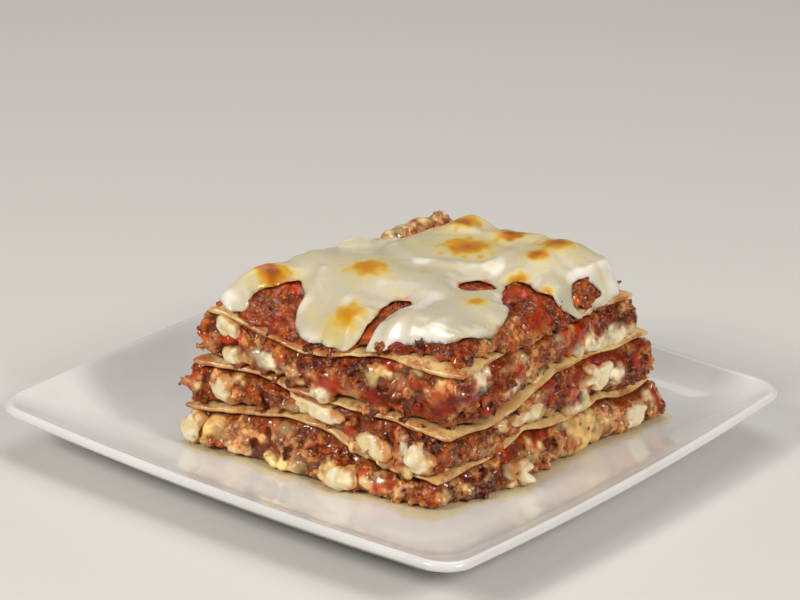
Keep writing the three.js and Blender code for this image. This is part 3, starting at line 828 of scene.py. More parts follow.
@dataclass(frozen=True)
class WetCrumbs:
    """Crumbled meat, tomato and curds under a wet film of sauce, in the tints kept on the mesh, with painted
    shade in the crevices between granules.
    """

    fat: Colour = paint(228, 168, 104)
    # dark is painted shade: the tint is multiplied towards it in the crevices between granules, and towards
    # light, near white, in their middles.
    dark: Colour = paint(160, 112, 84)
    light: Colour = paint(255, 252, 246)
    film: Colour = paint(196, 84, 20)

    def make(self) -> Material:
        """Builds the material, which reads the tint and how grainy each point is."""
        shader = Shader("wet_crumbs", {
            "Subsurface Weight": 0.15, "Subsurface Radius": (1.0, 0.4, 0.2), "Subsurface Scale": 0.0014,
            "IOR": 1.38, "Specular IOR Level": 0.35, "Coat Roughness": 0.1, "Coat IOR": 1.5,
        })
        grain = shader.kept("grain")
        fine = shader.noise(1.15, 3, 0.6)
        granules = shader.granules(1.8)
        # Painted shade: the tint darkens from each granule's middle towards the crevices round it, more where
        # the crumbs are grainy.
        shade = shader.mix(shader.band(granules + (fine - 0.5) * 0.7, 0.35, 0.85), self.light, self.dark)
        shaded = shader.mix(grain * 0.7 + 0.25, shader.kept_colour("tint"), shade, "MULTIPLY")
        flecks = shader.band(shader.noise(1.3, 2, 0.5), 0.54, 0.7) * grain
        flecked = shader.mix(flecks * 0.42, shaded, self.fat)
        filmed = shader.band(shader.noise(5, 4, 0.6), 0.5, 0.68)
        shader.dress("Base Color", shader.mix(filmed * (grain * 0.2 + 0.2), flecked, self.film))
        shader.roughen(1.8, 0.18, 0.45)
        shader.dress("Coat Weight", shader.band(shader.noise(3, 2), 0.42, 0.6, 0.02, 1.0))
        shader.bump(fine * 0.3 - granules * (grain * 0.6 + 0.08), 0.8, 0.7)
        return shader.material


@dataclass(frozen=True)
class RicottaCurds:
    """Soft cream-white cheese, faintly curdled, with sauce caught in its hollows."""

    curd: Colour = paint(246, 237, 208)
    cream: Colour = paint(238, 216, 162)
    sauce: Colour = paint(204, 124, 36)

    def make(self) -> Material:
        """Builds the material."""
        shader = Shader("ricotta_curds", {
            "Subsurface Weight": 0.35, "Subsurface Radius": (1.0, 0.75, 0.5), "Subsurface Scale": 0.002,
            "IOR": 1.4, "Coat Roughness": 0.1,
        })
        base = shader.mix(shader.band(shader.noise(4.5, 3), 0.38, 0.66), self.curd, self.cream)
        caught = shader.band(shader.cloudy(shader.kept("stain"), 1.9, 0.8, 4), 0.3, 0.95, 0, 0.8)
        shader.dress("Base Color", shader.mix(caught, base, self.sauce))
        shader.roughen(2.2, 0.28, 0.5)
        shader.dress("Coat Weight", 0.4)
        shader.bump(shader.noise(1.5, 3, 0.5), 0.2, 0.4)
        return shader.material


@dataclass(frozen=True)
class MeltedCheese:
    """Smooth glossy melted cheese, ivory, with toasted spots and seeping sauce."""

    white: Colour = paint(242, 238, 228)
    ivory: Colour = paint(206, 198, 176)
    butter: Colour = paint(218, 203, 150)
    toast: tuple[tuple[float, Colour], ...] = (
        (0.0, paint(226, 208, 140)),
        (0.25, paint(224, 188, 70)),
        (0.5, paint(212, 154, 24)),
        (0.75, paint(192, 112, 12)),
        (1.0, paint(146, 68, 10)),
    )
    oil: Colour = paint(208, 96, 28)

    def make(self) -> Material:
        """Builds the material, which reads how toasted and how stained each point is."""
        shader = Shader("melted_cheese", {
            "Subsurface Weight": 0.4, "Subsurface Radius": (1.0, 0.8, 0.5), "Subsurface Scale": 0.003,
            "IOR": 1.42, "Coat Roughness": 0.08, "Coat IOR": 1.4,
        })
        whiteness = shader.cloudy(shader.kept("whiteness"), 9, 0.7)
        base = shader.mix(shader.band(whiteness, 0.2, 0.8), self.ivory, self.white)
        toasted = shader.kept("browned")
        patch = shader.band(shader.noise(17, 2), 0.46, 0.72) * 0.4
        buttery = shader.band(shader.cloudy(shader.kept("halo") + patch, 6, 0.4), 0.08, 0.85)
        warm = shader.mix(buttery, base, self.butter)
        speckle = (shader.noise(2.6, 4, 0.6) - 0.5) * 0.3
        crisp = (toasted + speckle * shader.band(toasted, 0.05, 0.4)).held()
        baked = shader.mix(shader.band(crisp, 0.02, 0.46), warm, shader.ramp(crisp, self.toast))
        seep = shader.cloudy(shader.kept("stain"), 2.6, 0.7, 4)
        shader.dress("Base Color", shader.mix(shader.band(seep, 0.3, 0.95, 0, 0.85), baked, self.oil))
        shader.roughen(5, 0.26, 0.42)
        shader.dress("Coat Weight", 0.3)
        shader.bump(shader.noise(8, 2) + shader.band(crisp, 0.3, 1.0) * shader.noise(1.1, 3) * 0.4, 0.25, 0.2)
        return shader.material


@dataclass(frozen=True)
class OilFilm:
    """The thin yellowish film of oil and whey round the foot."""

    oil: Colour = paint(252, 230, 156)

    def make(self) -> Material:
        """Builds the material, which reads how thick the film is."""
        shader = Shader("oil_film", {"Base Color": self.oil, "Roughness": 0.08, "IOR": 1.45})
        depth = shader.cloudy(shader.kept("depth"), 5, 0.5)
        shader.dress("Alpha", shader.band(depth, 0.05, 0.95, 0.02, 0.38))
        return shader.material


@dataclass(frozen=True)
class ChoppedHerb:
    """Dark green leaf, chopped small and wet."""

    leaf: Colour = paint(66, 84, 30)
    vein: Colour = paint(98, 108, 48)

    def make(self) -> Material:
        """Builds the material."""
        shader = Shader("chopped_herb", {
            "Roughness": 0.35, "Subsurface Weight": 0.1, "Subsurface Scale": 0.0006,
        })
        veined = shader.band(shader.noise(0.7, 3), 0.4, 0.65)
        shader.dress("Base Color", shader.mix(veined, self.leaf, self.vein))
        return shader.material


@dataclass(frozen=True)
class StudioFloor:
    """Plain pale matt floor."""

    pale: Colour = paint(224, 224, 224)

    def make(self) -> Material:
        """Builds the material."""
        return Shader("studio_floor", {"Base Color": self.pale, "Roughness": 0.6}).material


def wear(piece: Piece, finish: Material, slot: str, *nodes: str) -> None:
    """Gives a finished piece its material, smooth shading, body and the nodes it stands for."""
    piece.data.materials.clear()
    piece.data.materials.append(finish)
    piece.data.polygons.foreach_set("use_smooth", np.ones(len(piece.data.polygons), bool))
    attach(piece, BODY)
    if nodes:
        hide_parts(*nodes)
    LOG.info("%s: %d faces", piece.name, len(piece.data.polygons))


# ---------------------------------------------------------------- plate


@dataclass
class Plate:
    """The square plate with bowed sides, rounded corners, a thick lip and a foot ring."""

    half_side: float = 95.0
    side_bow: float = 2.4
    corner_radius: float = 11.3
    inner_rounding: float = 0.35
    lip_radius: float = 1.75
    lip_height: float = 16.2
    corner_rise: float = 0.6
    well_half: float = 70.0
    well_top: float = 8.0
    rise_exponent: float = 1.9
    wall: float = 4.0
    lip_turn: tuple[float, float] = (84, -66)
    outer_span: tuple[float, float] = (91.5, 62)
    foot_half: float = 58.0
    foot_width: float = 4.0
    foot_taper: float = 1.5
    foot_edge: float = 0.6
    middle_half: float = 6.0
    under_half: float = 40.0
    side_steps: int = 26
    corner_steps: int = 14

    def ring(self, half_side: float, height: float) -> Points:
        """The rounded, slightly bowed square at one distance from the middle."""
        inset = max(0.0, self.half_side - half_side)
        radius = self.corner_radius + inset * self.inner_rounding
        straight = max(half_side - radius, 0.05 * half_side)
        radius = half_side - straight
        climbed = (half_side - self.well_half) / (self.half_side - self.well_half)
        lift = self.corner_rise * smooth(climbed)
        y = straight * (2 * np.arange(1, self.side_steps) / self.side_steps - 1)
        bow = 1 - (y / straight) ** 2
        side = np.stack([half_side + self.side_bow * half_side / self.half_side * bow, y,
                         height + lift * (1 - bow)], axis=-1)
        turn = np.arange(self.corner_steps + 1) / self.corner_steps * math.pi / 2
        corner = np.stack([straight + radius * np.cos(turn), straight + radius * np.sin(turn),
                           np.full_like(turn, height + lift)], axis=-1)
        quarter = np.concatenate([side, corner])
        turns = [Matrix.Rotation(k * math.pi / 2, 3, "Z") for k in range(4)]
        return np.concatenate([quarter @ np.array(turn).T for turn in turns])

    def climb(self, distance: Array | float) -> Array | float:
        """The height of the upper surface at a distance from the middle."""
        share = np.clip((distance - self.well_half) / (self.half_side - self.well_half), 0, None)
        lip_top = self.lip_height + self.lip_radius
        return self.well_top + (lip_top - self.well_top) * share ** self.rise_exponent

    def section(self) -> list[tuple[float, float]]:
        """The section from near the middle of the well, over the lip and back underneath."""
        well = (self.middle_half, 20, 38, 55, 66)
        climbing = np.linspace(self.well_half, self.half_side - 1, 19)
        inner = [(d, float(self.climb(d))) for d in (*well, *climbing)]
        lip = [
            (self.half_side + self.lip_radius * math.cos(turn),
             self.lip_height + self.lip_radius * math.sin(turn))
            for turn in np.radians(np.linspace(*self.lip_turn, 13))
        ]
        outer = [(d, float(self.climb(d)) - self.wall) for d in np.linspace(*self.outer_span, 14)]
        under, edge = self.well_top - self.wall, self.foot_edge
        foot_out, foot_in = self.foot_half, self.foot_half - self.foot_width
        foot = [
            (foot_out + self.foot_taper, under), (foot_out + edge / 2, edge * 1.6),
            (foot_out - edge / 2, 0.0), (foot_in + edge / 2, 0.0), (foot_in - edge / 2, edge * 1.6),
            (foot_in - self.foot_taper, under), (self.under_half, under), (self.middle_half, under),
        ]
        return inner + lip + outer + foot

    def build(self, finish: Material) -> Piece:
        """Builds the plate and dresses it."""
        rings = [self.ring(distance, height) for distance, height in self.section()]
        count = len(rings[0])
        centres = np.array([[0, 0, self.well_top], [0, 0, self.well_top - self.wall]])
        faces = ring_faces(len(rings), count)
        top, last = len(rings) * count, (len(rings) - 1) * count
        for k in range(count):
            after = (k + 1) % count
            faces.append((top, k, after))
            faces.append((top + 1, last + after, last + k))
        plate = Mesh(np.concatenate([*rings, centres]), faces).finish("square_plate")
        wear(plate, finish, "porcelain", "plate")
        return plate


# ---------------------------------------------------------------- pasta


@dataclass
class PastaSheet:
    """One boiled sheet, whose soft cut edge stands out unevenly and droops.

    Each band of the edge is given by the share of the slice where it starts and by its width.
    """

    number: int
    lie: SheetLie
    overhang: tuple[float, float] = (-0.014, 0.012)
    grown: tuple[float, float] = (0.9, 0.1)
    droop: float = 0.5
    drooping: tuple[float, float] = (0.965, 0.035)
    hanging: tuple[float, float] = (0.93, 0.07)
    dents: float = 0.16
    thinned: float = 0.32
    rounded: tuple[float, float] = (0.985, 0.015)
    edge_bulge: float = 0.45
    thickness_share: float = 0.86
    thickness_swing: float = 0.12
    stained: float = 0.24
    stain_swing: float = 0.24
    rim_stain: float = 0.2
    cells: tuple[int, int] = (96, 116)

    def ripple(self, size: float, seed: Seed, points: Points) -> Array:
        """Unevenness that is this sheet's own."""
        return Ripple(size, seed + self.number).at(points)

    def skins(self, across: Array, along: Array) -> tuple[Points, Points]:
        """The sheet's top and underside on a grid of the slice."""
        plan = SLICE.point(across, along, self.lie.height)[..., :2]
        edge = np.maximum(np.abs(across), np.abs(along))
        least, most = self.overhang
        beyond = (least + most) / 2
        beyond = beyond + (most - least) / 2 * np.clip(self.ripple(17, Seed.SHEET_EDGE, plan), -1, 1)
        hang = np.zeros_like(edge)
        for flap in self.lie.flaps:
            near = bell(np.hypot(across - flap.across, along - flap.along), flap.reach)
            beyond = beyond + flap.out * near
            hang = hang + flap.hang * near
        grow = 1 + beyond * ease(edge, *self.grown)
        wide_across, wide_along = across * grow, along * grow
        middle = self.lie.middle(wide_across, wide_along)
        uneven = 1 + 0.5 * self.ripple(23, Seed.SHEET_DROOP, plan)
        middle = middle - self.droop * ease(edge, *self.drooping) * uneven
        middle = middle - hang * ease(edge, *self.hanging)
        middle = middle + self.dents * self.ripple(7, Seed.SHEET_SURFACE, plan)
        uneven = self.thickness_swing * self.ripple(19, Seed.SHEET_THICKNESS, plan)
        half = SHEET_THICKNESS / 2 * (self.thickness_share + uneven)
        rounding = 1 - self.thinned * ease(edge, *self.rounded)
        top = SLICE.point(wide_across, wide_along, middle + half * rounding)
        return top, SLICE.point(wide_across, wide_along, middle - half * rounding)

    def wall(self, low: Points, high: Points, share: float) -> Points:
        """A band of the rounded cut edge."""
        flat = np.array([1, 1, 0])
        out = unit((low + high) / 2 * flat - SLICE.point(0, 0, self.lie.height) * flat)
        return low + (high - low) * share + out * self.edge_bulge * math.sin(share * math.pi) ** 0.6

    def stain(self, points: Points, across: Array, along: Array) -> Array:
        """How stained the points are, which come in the order top, underside and cut edge."""
        def whole(value: Array, on_edge: float) -> Array:
            """A value of the grid, for both skins and the cut edge."""
            rest = np.full(len(points) - 2 * value.size, on_edge)
            return np.concatenate([value.ravel(), value.ravel(), rest])

        rim = whole(ease(np.maximum(np.abs(across), np.abs(along)), 0.95, 0.05), 1.0)
        front = whole(self.lie.sauced * ease(-along, 0.9, 0.1), self.lie.sauced / 2)
        cream = self.lie.creamed * ease(whole(across, 0.0), 0.6, 0.4)
        patchy = self.stained + self.stain_swing * self.ripple(9, Seed.SHEET_STAIN, points)
        return np.clip(patchy + self.rim_stain * rim + front - cream, 0, 1)

    def build(self, finish: Material) -> Piece:
        """Builds the sheet and dresses it."""
        rows, columns = self.cells
        across, along = slice_grid(1, rows + 1, columns + 1)
        made = closed_slab(*self.skins(across, along), self.wall, bands=4)
        made.values["stain"] = self.stain(made.points, across, along)
        sheet = made.finish(f"boiled_sheet_{self.number}")
        wear(sheet, finish, "pasta", f"pasta_sheet_{self.number}")
        return sheet


# ---------------------------------------------------------------- what the fillings are made of


@dataclass(frozen=True)
class Look:
    """How one kind of crumb looks: its colour, how grainy it is and its radii in millimetres."""

    colour: Colour
    grain: float
    radii: tuple[float, float]


class Stuff(Enum):
    """The kinds of crumb in the fillings."""

    MAROON_MEAT = Look(paint(108, 36, 8), 1.0, (1.2, 2.4))
    BROWN_MEAT = Look(paint(168, 82, 20), 1.0, (1.1, 2.4))
    TAN_MEAT = Look(paint(216, 150, 84), 0.95, (1.0, 2.1))
    PINK_MEAT = Look(paint(222, 164, 110), 0.9, (1.2, 2.4))
    TOMATO = Look(paint(176, 48, 2), 0.18, (1.2, 2.5))
    JAM = Look(paint(132, 30, 4), 0.14, (1.2, 2.6))
    SAUCE = Look(paint(200, 90, 12), 0.3, (0.9, 1.8))
    CREAM = Look(paint(238, 212, 150), 0.06, (1.3, 2.8))
    WHITE = Look(paint(242, 232, 200), 0.0, (1.8, 3.4))
    PASTA = Look(paint(232, 194, 122), 0.0, (1.5, 3.0))


BRIGHT_MIX = {
    Stuff.BROWN_MEAT: 0.26, Stuff.TAN_MEAT: 0.22, Stuff.SAUCE: 0.22, Stuff.CREAM: 0.1,
    Stuff.MAROON_MEAT: 0.1, Stuff.TOMATO: 0.1,
}
DARK_MIX = {
    Stuff.MAROON_MEAT: 0.2, Stuff.BROWN_MEAT: 0.24, Stuff.TOMATO: 0.12, Stuff.TAN_MEAT: 0.16,
    Stuff.SAUCE: 0.14, Stuff.JAM: 0.08, Stuff.PINK_MEAT: 0.04, Stuff.CREAM: 0.05,
}
TOP_MIX = {
    Stuff.MAROON_MEAT: 0.3, Stuff.BROWN_MEAT: 0.28, Stuff.TOMATO: 0.14, Stuff.SAUCE: 0.18, Stuff.JAM: 0.1,
}
PALE_MIX = {
    Stuff.BROWN_MEAT: 0.14, Stuff.TAN_MEAT: 0.32, Stuff.SAUCE: 0.16, Stuff.CREAM: 0.24,
    Stuff.MAROON_MEAT: 0.04, Stuff.TOMATO: 0.06, Stuff.PINK_MEAT: 0.1,
}
FACE_MIX = {Face.FRONT: BRIGHT_MIX, Face.RIGHT: DARK_MIX, Face.BACK: BRIGHT_MIX, Face.LEFT: BRIGHT_MIX}
FACE_HALF = {Face.FRONT: 47.0, Face.RIGHT: 58.0, Face.BACK: 47.0, Face.LEFT: 58.0}


@dataclass(frozen=True)
class Patch:
    """A named area of a cut face: where it is, its half sizes in millimetres, and what fills it."""

    name: str
    at: float
    height: float
    half: tuple[float, float]
    stuff: Stuff

    def holds(self, face: Face, at: Array, height: Array, wander: Array) -> Array:
        """Whether places on the face lie in the patch, whose outline wanders."""
        along = (at - self.at) * FACE_HALF[face] / self.half[0]
        up = (height - self.height) / self.half[1]
        return along ** 2 + up ** 2 < (1 + 0.35 * wander) ** 2


PATCHES = {
    (2, Face.FRONT): (
        Patch("corner sauce", -1.0, 39, (4, 8), Stuff.SAUCE),
        Patch("red under cream", -0.79, 39.3, (4.6, 2.2), Stuff.TOMATO),
        Patch("cream at left", -0.74, 35, (5, 3), Stuff.CREAM),
        Patch("tan crumbs", -0.6, 40.5, (3.4, 4), Stuff.TAN_MEAT),
        Patch("white curd", -0.46, 36, (3, 3.4), Stuff.WHITE),
        Patch("yellow cream", -0.34, 32.6, (5, 1.8), Stuff.CREAM),
        Patch("maroon meat", -0.14, 39.5, (9, 5), Stuff.MAROON_MEAT),
        Patch("tomato", 0.01, 32.5, (4, 3), Stuff.TOMATO),
        Patch("dark meat", 0.19, 39, (5, 4), Stuff.MAROON_MEAT),
        Patch("pale curd", 0.36, 39.6, (4.6, 2.8), Stuff.CREAM),
        Patch("cream on pasta", 0.19, 30.6, (5, 1.6), Stuff.CREAM),
        Patch("red sauce", 0.46, 32.6, (8, 2.8), Stuff.JAM),
        Patch("brown meat", 0.66, 38, (6, 3.8), Stuff.BROWN_MEAT),
        Patch("yellow lump", 0.87, 42.6, (3.6, 2.4), Stuff.PASTA),
        Patch("orange corner", 0.95, 39, (3.6, 2.6), Stuff.SAUCE),
        Patch("jam corner", 0.93, 34, (7, 3.6), Stuff.JAM),
    ),
    (1, Face.FRONT): (
        Patch("left edge sauce", -1.0, 23, (3.4, 8), Stuff.SAUCE),
        Patch("pale cream", -0.84, 21.4, (4.4, 2.6), Stuff.CREAM),
        Patch("dark crumbs", -0.44, 24.4, (12, 4.4), Stuff.BROWN_MEAT),
        Patch("ricotta strip", -0.06, 22.4, (12, 2.6), Stuff.CREAM),
        Patch("orange sauce", 0.37, 20, (4.4, 3.4), Stuff.SAUCE),
        Patch("brown crumbs", 0.48, 23, (7, 2), Stuff.BROWN_MEAT),
        Patch("grey curd", 0.48, 16, (4.4, 2.2), Stuff.CREAM),
        Patch("orange between", 0.62, 20.6, (3, 3), Stuff.SAUCE),
        Patch("corner blob", 0.83, 16, (6, 5), Stuff.WHITE),
        Patch("maroon glaze", 0.88, 22.8, (8, 2.6), Stuff.MAROON_MEAT),
        Patch("orange corner", 0.98, 16, (3.4, 3.4), Stuff.SAUCE),
    ),
    (0, Face.FRONT): (
        Patch("foot sauce", -0.92, 12.4, (6, 2.4), Stuff.SAUCE),
        Patch("foot cream", -0.98, 5, (4, 5), Stuff.CREAM),
        Patch("folded pasta", -0.77, 7.5, (4, 6), Stuff.PASTA),
        Patch("fibres", -0.55, 8, (6, 7), Stuff.PINK_MEAT),
        Patch("red crumbs", -0.33, 13, (6, 4), Stuff.SAUCE),
        Patch("pink mass", -0.1, 9, (8, 5), Stuff.PINK_MEAT),
        Patch("orange brown", 0.2, 10.6, (7, 4.4), Stuff.BROWN_MEAT),
        Patch("red foot", 0.62, 4, (6, 3.4), Stuff.TOMATO),
        Patch("brown foot", 0.9, 5, (7, 3.6), Stuff.BROWN_MEAT),
        Patch("tan foot", 0.74, 1, (14, 1.6), Stuff.TAN_MEAT),
        Patch("cream along the foot", -0.35, 1.6, (18, 2.2), Stuff.CREAM),
    ),
    (2, Face.RIGHT): (
        Patch("grey curd", -0.72, 43.4, (5, 2.6), Stuff.WHITE),
        Patch("dark meat", -0.62, 38.4, (8, 4), Stuff.BROWN_MEAT),
        Patch("jam", -0.93, 35, (6, 4), Stuff.JAM),
        Patch("curd on pasta", -0.42, 32.6, (6, 2.6), Stuff.WHITE),
        Patch("tan crumbs", -0.24, 38.6, (8, 4.4), Stuff.TAN_MEAT),
        Patch("tomato", 0.28, 42, (8, 4.6), Stuff.TOMATO),
        Patch("brown crumbs", 0.72, 42, (13, 4.4), Stuff.MAROON_MEAT),
        Patch("white on pasta", 0.62, 35.2, (16, 1.6), Stuff.WHITE),
    ),
    (1, Face.RIGHT): (
        Patch("brown glaze", -0.8, 22, (11, 3.6), Stuff.BROWN_MEAT),
        Patch("orange lump", -0.42, 18.6, (3, 3), Stuff.SAUCE),
        Patch("cream band", -0.14, 19.4, (11, 3), Stuff.PASTA),
        Patch("orange red", -0.04, 24.6, (7, 2), Stuff.TOMATO),
        Patch("deep red", 0.6, 28.4, (23, 3.2), Stuff.JAM),
        Patch("white cheese", 0.48, 22.4, (13, 2.4), Stuff.WHITE),
        Patch("red corner", 0.95, 19, (6, 8), Stuff.TOMATO),
        Patch("brown foot", 0.8, 19, (7, 3), Stuff.MAROON_MEAT),
    ),
    (0, Face.RIGHT): (
        Patch("dark foot", -0.66, 5, (11, 4.6), Stuff.MAROON_MEAT),
        Patch("cream along the foot", -0.2, 1.4, (16, 2), Stuff.CREAM),
        Patch("red under pasta", -0.1, 11.4, (6, 3), Stuff.TOMATO),
        Patch("tan foot", -0.1, 4, (10, 5), Stuff.PINK_MEAT),
        Patch("pasta piece", 0.3, 7, (10, 6.5), Stuff.PASTA),
        Patch("pale crumbs", 0.55, 9, (8, 6), Stuff.PINK_MEAT),
        Patch("brown under pasta", 0.78, 13, (9, 2.6), Stuff.BROWN_MEAT),
        Patch("red corner", 0.97, 7, (4, 5), Stuff.TOMATO),
    ),
}


@dataclass(frozen=True)
class Spill:
    """Crumbs that have slid over the edge of the sheet under a layer."""

    name: str
    face: Face
    reach: tuple[float, float]
    count: int
    stuffs: tuple[Stuff, ...]
    drop: tuple[float, float] = (-1.4, 1.6)
    stand: tuple[float, float] = (0.2, 1.3)


BROWN_RED = (Stuff.BROWN_MEAT, Stuff.TOMATO, Stuff.MAROON_MEAT)
BROWN_ORANGE = (Stuff.BROWN_MEAT, Stuff.SAUCE, Stuff.MAROON_MEAT)
SPILLS = {
    1: (
        Spill("sauce and curd", Face.FRONT, (0.28, 0.8), 34, (Stuff.SAUCE, Stuff.CREAM, Stuff.BROWN_MEAT)),
        Spill("left corner in front", Face.FRONT, (-1, -0.9), 12, BROWN_ORANGE[:2], (-6.5, 0.5), (0.5, 4)),
        Spill("left corner behind", Face.LEFT, (-1, -0.9), 12, BROWN_ORANGE[:2], (-6.5, 0.5), (0.5, 4)),
        Spill("melted white", Face.RIGHT, (0.12, 0.4), 14, (Stuff.WHITE, Stuff.CREAM)),
        Spill("crumbs", Face.RIGHT, (-0.75, -0.5), 8, BROWN_RED[:2]),
        Spill(
            "along the front", Face.FRONT, (-0.9, 0.1), 5, (Stuff.TAN_MEAT, Stuff.SAUCE, Stuff.CREAM),
            (-0.8, 1.0), (0.0, 0.6),
        ),
    ),
    2: (
        Spill("cream", Face.FRONT, (-0.1, 0.04), 8, (Stuff.CREAM, Stuff.WHITE)),
        Spill("tan crumbs", Face.FRONT, (0.3, 0.5), 9, (Stuff.TAN_MEAT, Stuff.SAUCE)),
        Spill("cream smear", Face.RIGHT, (0.3, 0.95), 22, (Stuff.WHITE, Stuff.CREAM), (-2.0, 0.2)),
        Spill("along the front", Face.FRONT, (-0.95, 0.95), 22, BROWN_ORANGE, (-0.8, 1.3), (0.0, 0.7)),
        Spill(
            "along the right", Face.RIGHT, (-0.2, 0.95), 16, (Stuff.TAN_MEAT, Stuff.CREAM, Stuff.TOMATO),
            (-0.8, 1.3), (0.0, 0.7),
        ),
    ),
    3: (
        Spill("along the front", Face.FRONT, (-0.9, -0.5), 9, BROWN_ORANGE, (-1.0, 1.0), (-0.2, 0.5)),
        Spill("along the right", Face.RIGHT, (0.0, 0.24), 9, BROWN_RED, (-1.0, 1.4), (-0.2, 0.6)),
        Spill("under the cheese", Face.RIGHT, (0.3, 0.7), 11, BROWN_RED, (0.8, 2.2), (-0.1, 0.5)),
        Spill("crumbs", Face.RIGHT, (-0.52, 0.0), 46, (Stuff.TAN_MEAT, Stuff.BROWN_MEAT, Stuff.SAUCE)),
        Spill("sauce", Face.FRONT, (0.3, 0.62), 14, (Stuff.JAM, Stuff.BROWN_MEAT), (-1.6, 0.6)),
    ),
}


@dataclass
class CrumbField:
    """Crumbs under collection: where each sits, its size, tint and graininess."""

    places: list[Points] = field(default_factory=list)
    sizes: list[Points] = field(default_factory=list)
    tints: list[Array] = field(default_factory=list)
    grains: list[Array] = field(default_factory=list)
    small_bias: float = 1.4
    stretch: tuple[float, float] = (0.75, 1.2)
    shade: tuple[float, float] = (0.42, 1.5)
    hue: tuple[float, float] = (0.93, 1.07)

    def add(self, places: Points, stuffs: Sequence[Stuff], dice: Dice) -> None:
        """Adds crumbs of given kinds.

        Args:
            places: Their middles.
            stuffs: The kind of each.
            dice: Where the sizes and tints are drawn.
        """
        looks = [stuff.value for stuff in stuffs]
        count = len(looks)
        low, high = np.array([look.radii for look in looks]).T
        radii = low + (high - low) * dice.random(count) ** self.small_bias
        stretch = dice.uniform(*self.stretch, size=(count, 3))
        shade = dice.uniform(*self.shade, size=(count, 1))
        hue = dice.uniform(*self.hue, size=(count, 3))
        tints = np.array([look.colour for look in looks])
        tints[:, :3] *= shade * hue
        self.places.append(places)
        self.sizes.append(radii[:, None] * stretch)
        self.tints.append(tints)
        self.grains.append(np.array([look.grain for look in looks]))

    def spill(self, layer: int, dice: Dice) -> None:
        """Adds the crumbs that have slid over the edge of the sheet under a layer."""
        for spill in SPILLS.get(layer, ()):
            at = dice.uniform(*spill.reach, spill.count)
            across, along = spill.face.spot(at)
            edge = SHEETS[layer - 1].middle(across, along) + SHEET_THICKNESS / 2
            height = edge - dice.uniform(*spill.drop, spill.count)
            stand = dice.uniform(*spill.stand, spill.count)
            places = SLICE.off_face(spill.face, at, height, stand)
            kinds = [spill.stuffs[k] for k in dice.integers(len(spill.stuffs), size=spill.count)]
            self.add(places, kinds, dice)

    def carrier(self, name: str) -> Piece:
        """The crumbs as a mesh of bare points, in millimetres."""
        values = {"size": np.concatenate(self.sizes), "grain": np.concatenate(self.grains)}
        cloud = Mesh(np.concatenate(self.places), [], np.concatenate(self.tints), values)
        return cloud.finish(name, scale=1.0)


def drawn_stuff(mix: dict[Stuff, float], count: int, dice: Dice) -> list[Stuff]:
    """Kinds of crumb drawn from a mix."""
    kinds = list(mix)
    shares = np.array([mix[kind] for kind in kinds])
    return [kinds[k] for k in dice.choice(len(kinds), size=count, p=shares / shares.sum())]


def granule_cluster(tree: GeometryTree, seed: Socket) -> Socket:
    """A crumb of ground meat: small balls fused on a core, of radius about 1."""
    drift, core_radius, granule_radius = 0.26, 0.74, 0.4
    shift = tree.chance("FLOAT_VECTOR", (-drift,) * 3, (drift,) * 3, seed)
    spots = tree.moved(tree.ball(0.72, 1), Offset=shift)
    size = tree.chance("FLOAT", 0.7, 1.25, seed)
    granules = tree.step("GeometryNodeInstanceOnPoints", {}, {
        "Points": spots, "Instance": tree.ball(granule_radius, 2), "Scale": size,
    })
    real = tree.step("GeometryNodeRealizeInstances", {}, {"Geometry": granules})
    return tree.step("GeometryNodeJoinGeometry", {}, {"Geometry": [real, tree.ball(core_radius, 2)]})


def laid_crumbs(tree: GeometryTree, points: Socket, seed: Socket) -> Socket:
    """Clusters of granules on the grainy points and soft lumps on the others."""
    turn = tree.tumbled(seed)
    grainy = tree.step("FunctionNodeCompare", {"data_type": "FLOAT", "operation": "GREATER_THAN"}, {
        0: tree.named("grain", "FLOAT"), 1: 0.5,
    })
    soft = tree.step("FunctionNodeBooleanMath", {"operation": "NOT"}, {0: grainy})
    laid = []
    for chosen, shape in ((grainy, granule_cluster(tree, seed)), (soft, tree.lump(3, 1.3, 2.0, 1.1))):
        laid.append(tree.step("GeometryNodeInstanceOnPoints", {}, {
            "Points": points, "Selection": chosen, "Instance": shape, "Rotation": turn,
            "Scale": tree.named("size", "FLOAT_VECTOR"),
        }))
    crumbs = tree.step("GeometryNodeJoinGeometry", {}, {"Geometry": laid})
    return tree.step("GeometryNodeRealizeInstances", {}, {"Geometry": crumbs})


def fused_skin(tree: GeometryTree, whole: Socket, voxel: Socket) -> Socket:
    """One skin round everything, with the tint and graininess of what lies under it, a little blurred."""
    volume = tree.step("GeometryNodeMeshToVolume", {"resolution_mode": "VOXEL_SIZE"}, {
        "Mesh": whole, "Voxel Size": voxel, "Interior Band Width": 3.0,
    })
    skin = tree.step("GeometryNodeVolumeToMesh", {"resolution_mode": "GRID"}, {
        "Volume": volume, "Threshold": 0.1, "Adaptivity": 0.04,
    })
    position = tree.step("GeometryNodeInputPosition")
    for name, kind in (("tint", "FLOAT_COLOR"), ("grain", "FLOAT")):
        found = tree.node("GeometryNodeSampleNearestSurface", {"data_type": kind}, {
            "Mesh": whole, "Value": tree.named(name, kind), "Sample Position": position,
        })
        blurred = tree.node("GeometryNodeBlurAttribute", {"data_type": kind}, {
            "Value": Graph.output(found, "Value"), "Iterations": 3,
        })
        skin = tree.step("GeometryNodeStoreNamedAttribute", {"data_type": kind, "domain": "POINT"}, {
            "Geometry": skin, "Name": name, "Value": Graph.output(blurred, "Value"),
        })
    return skin


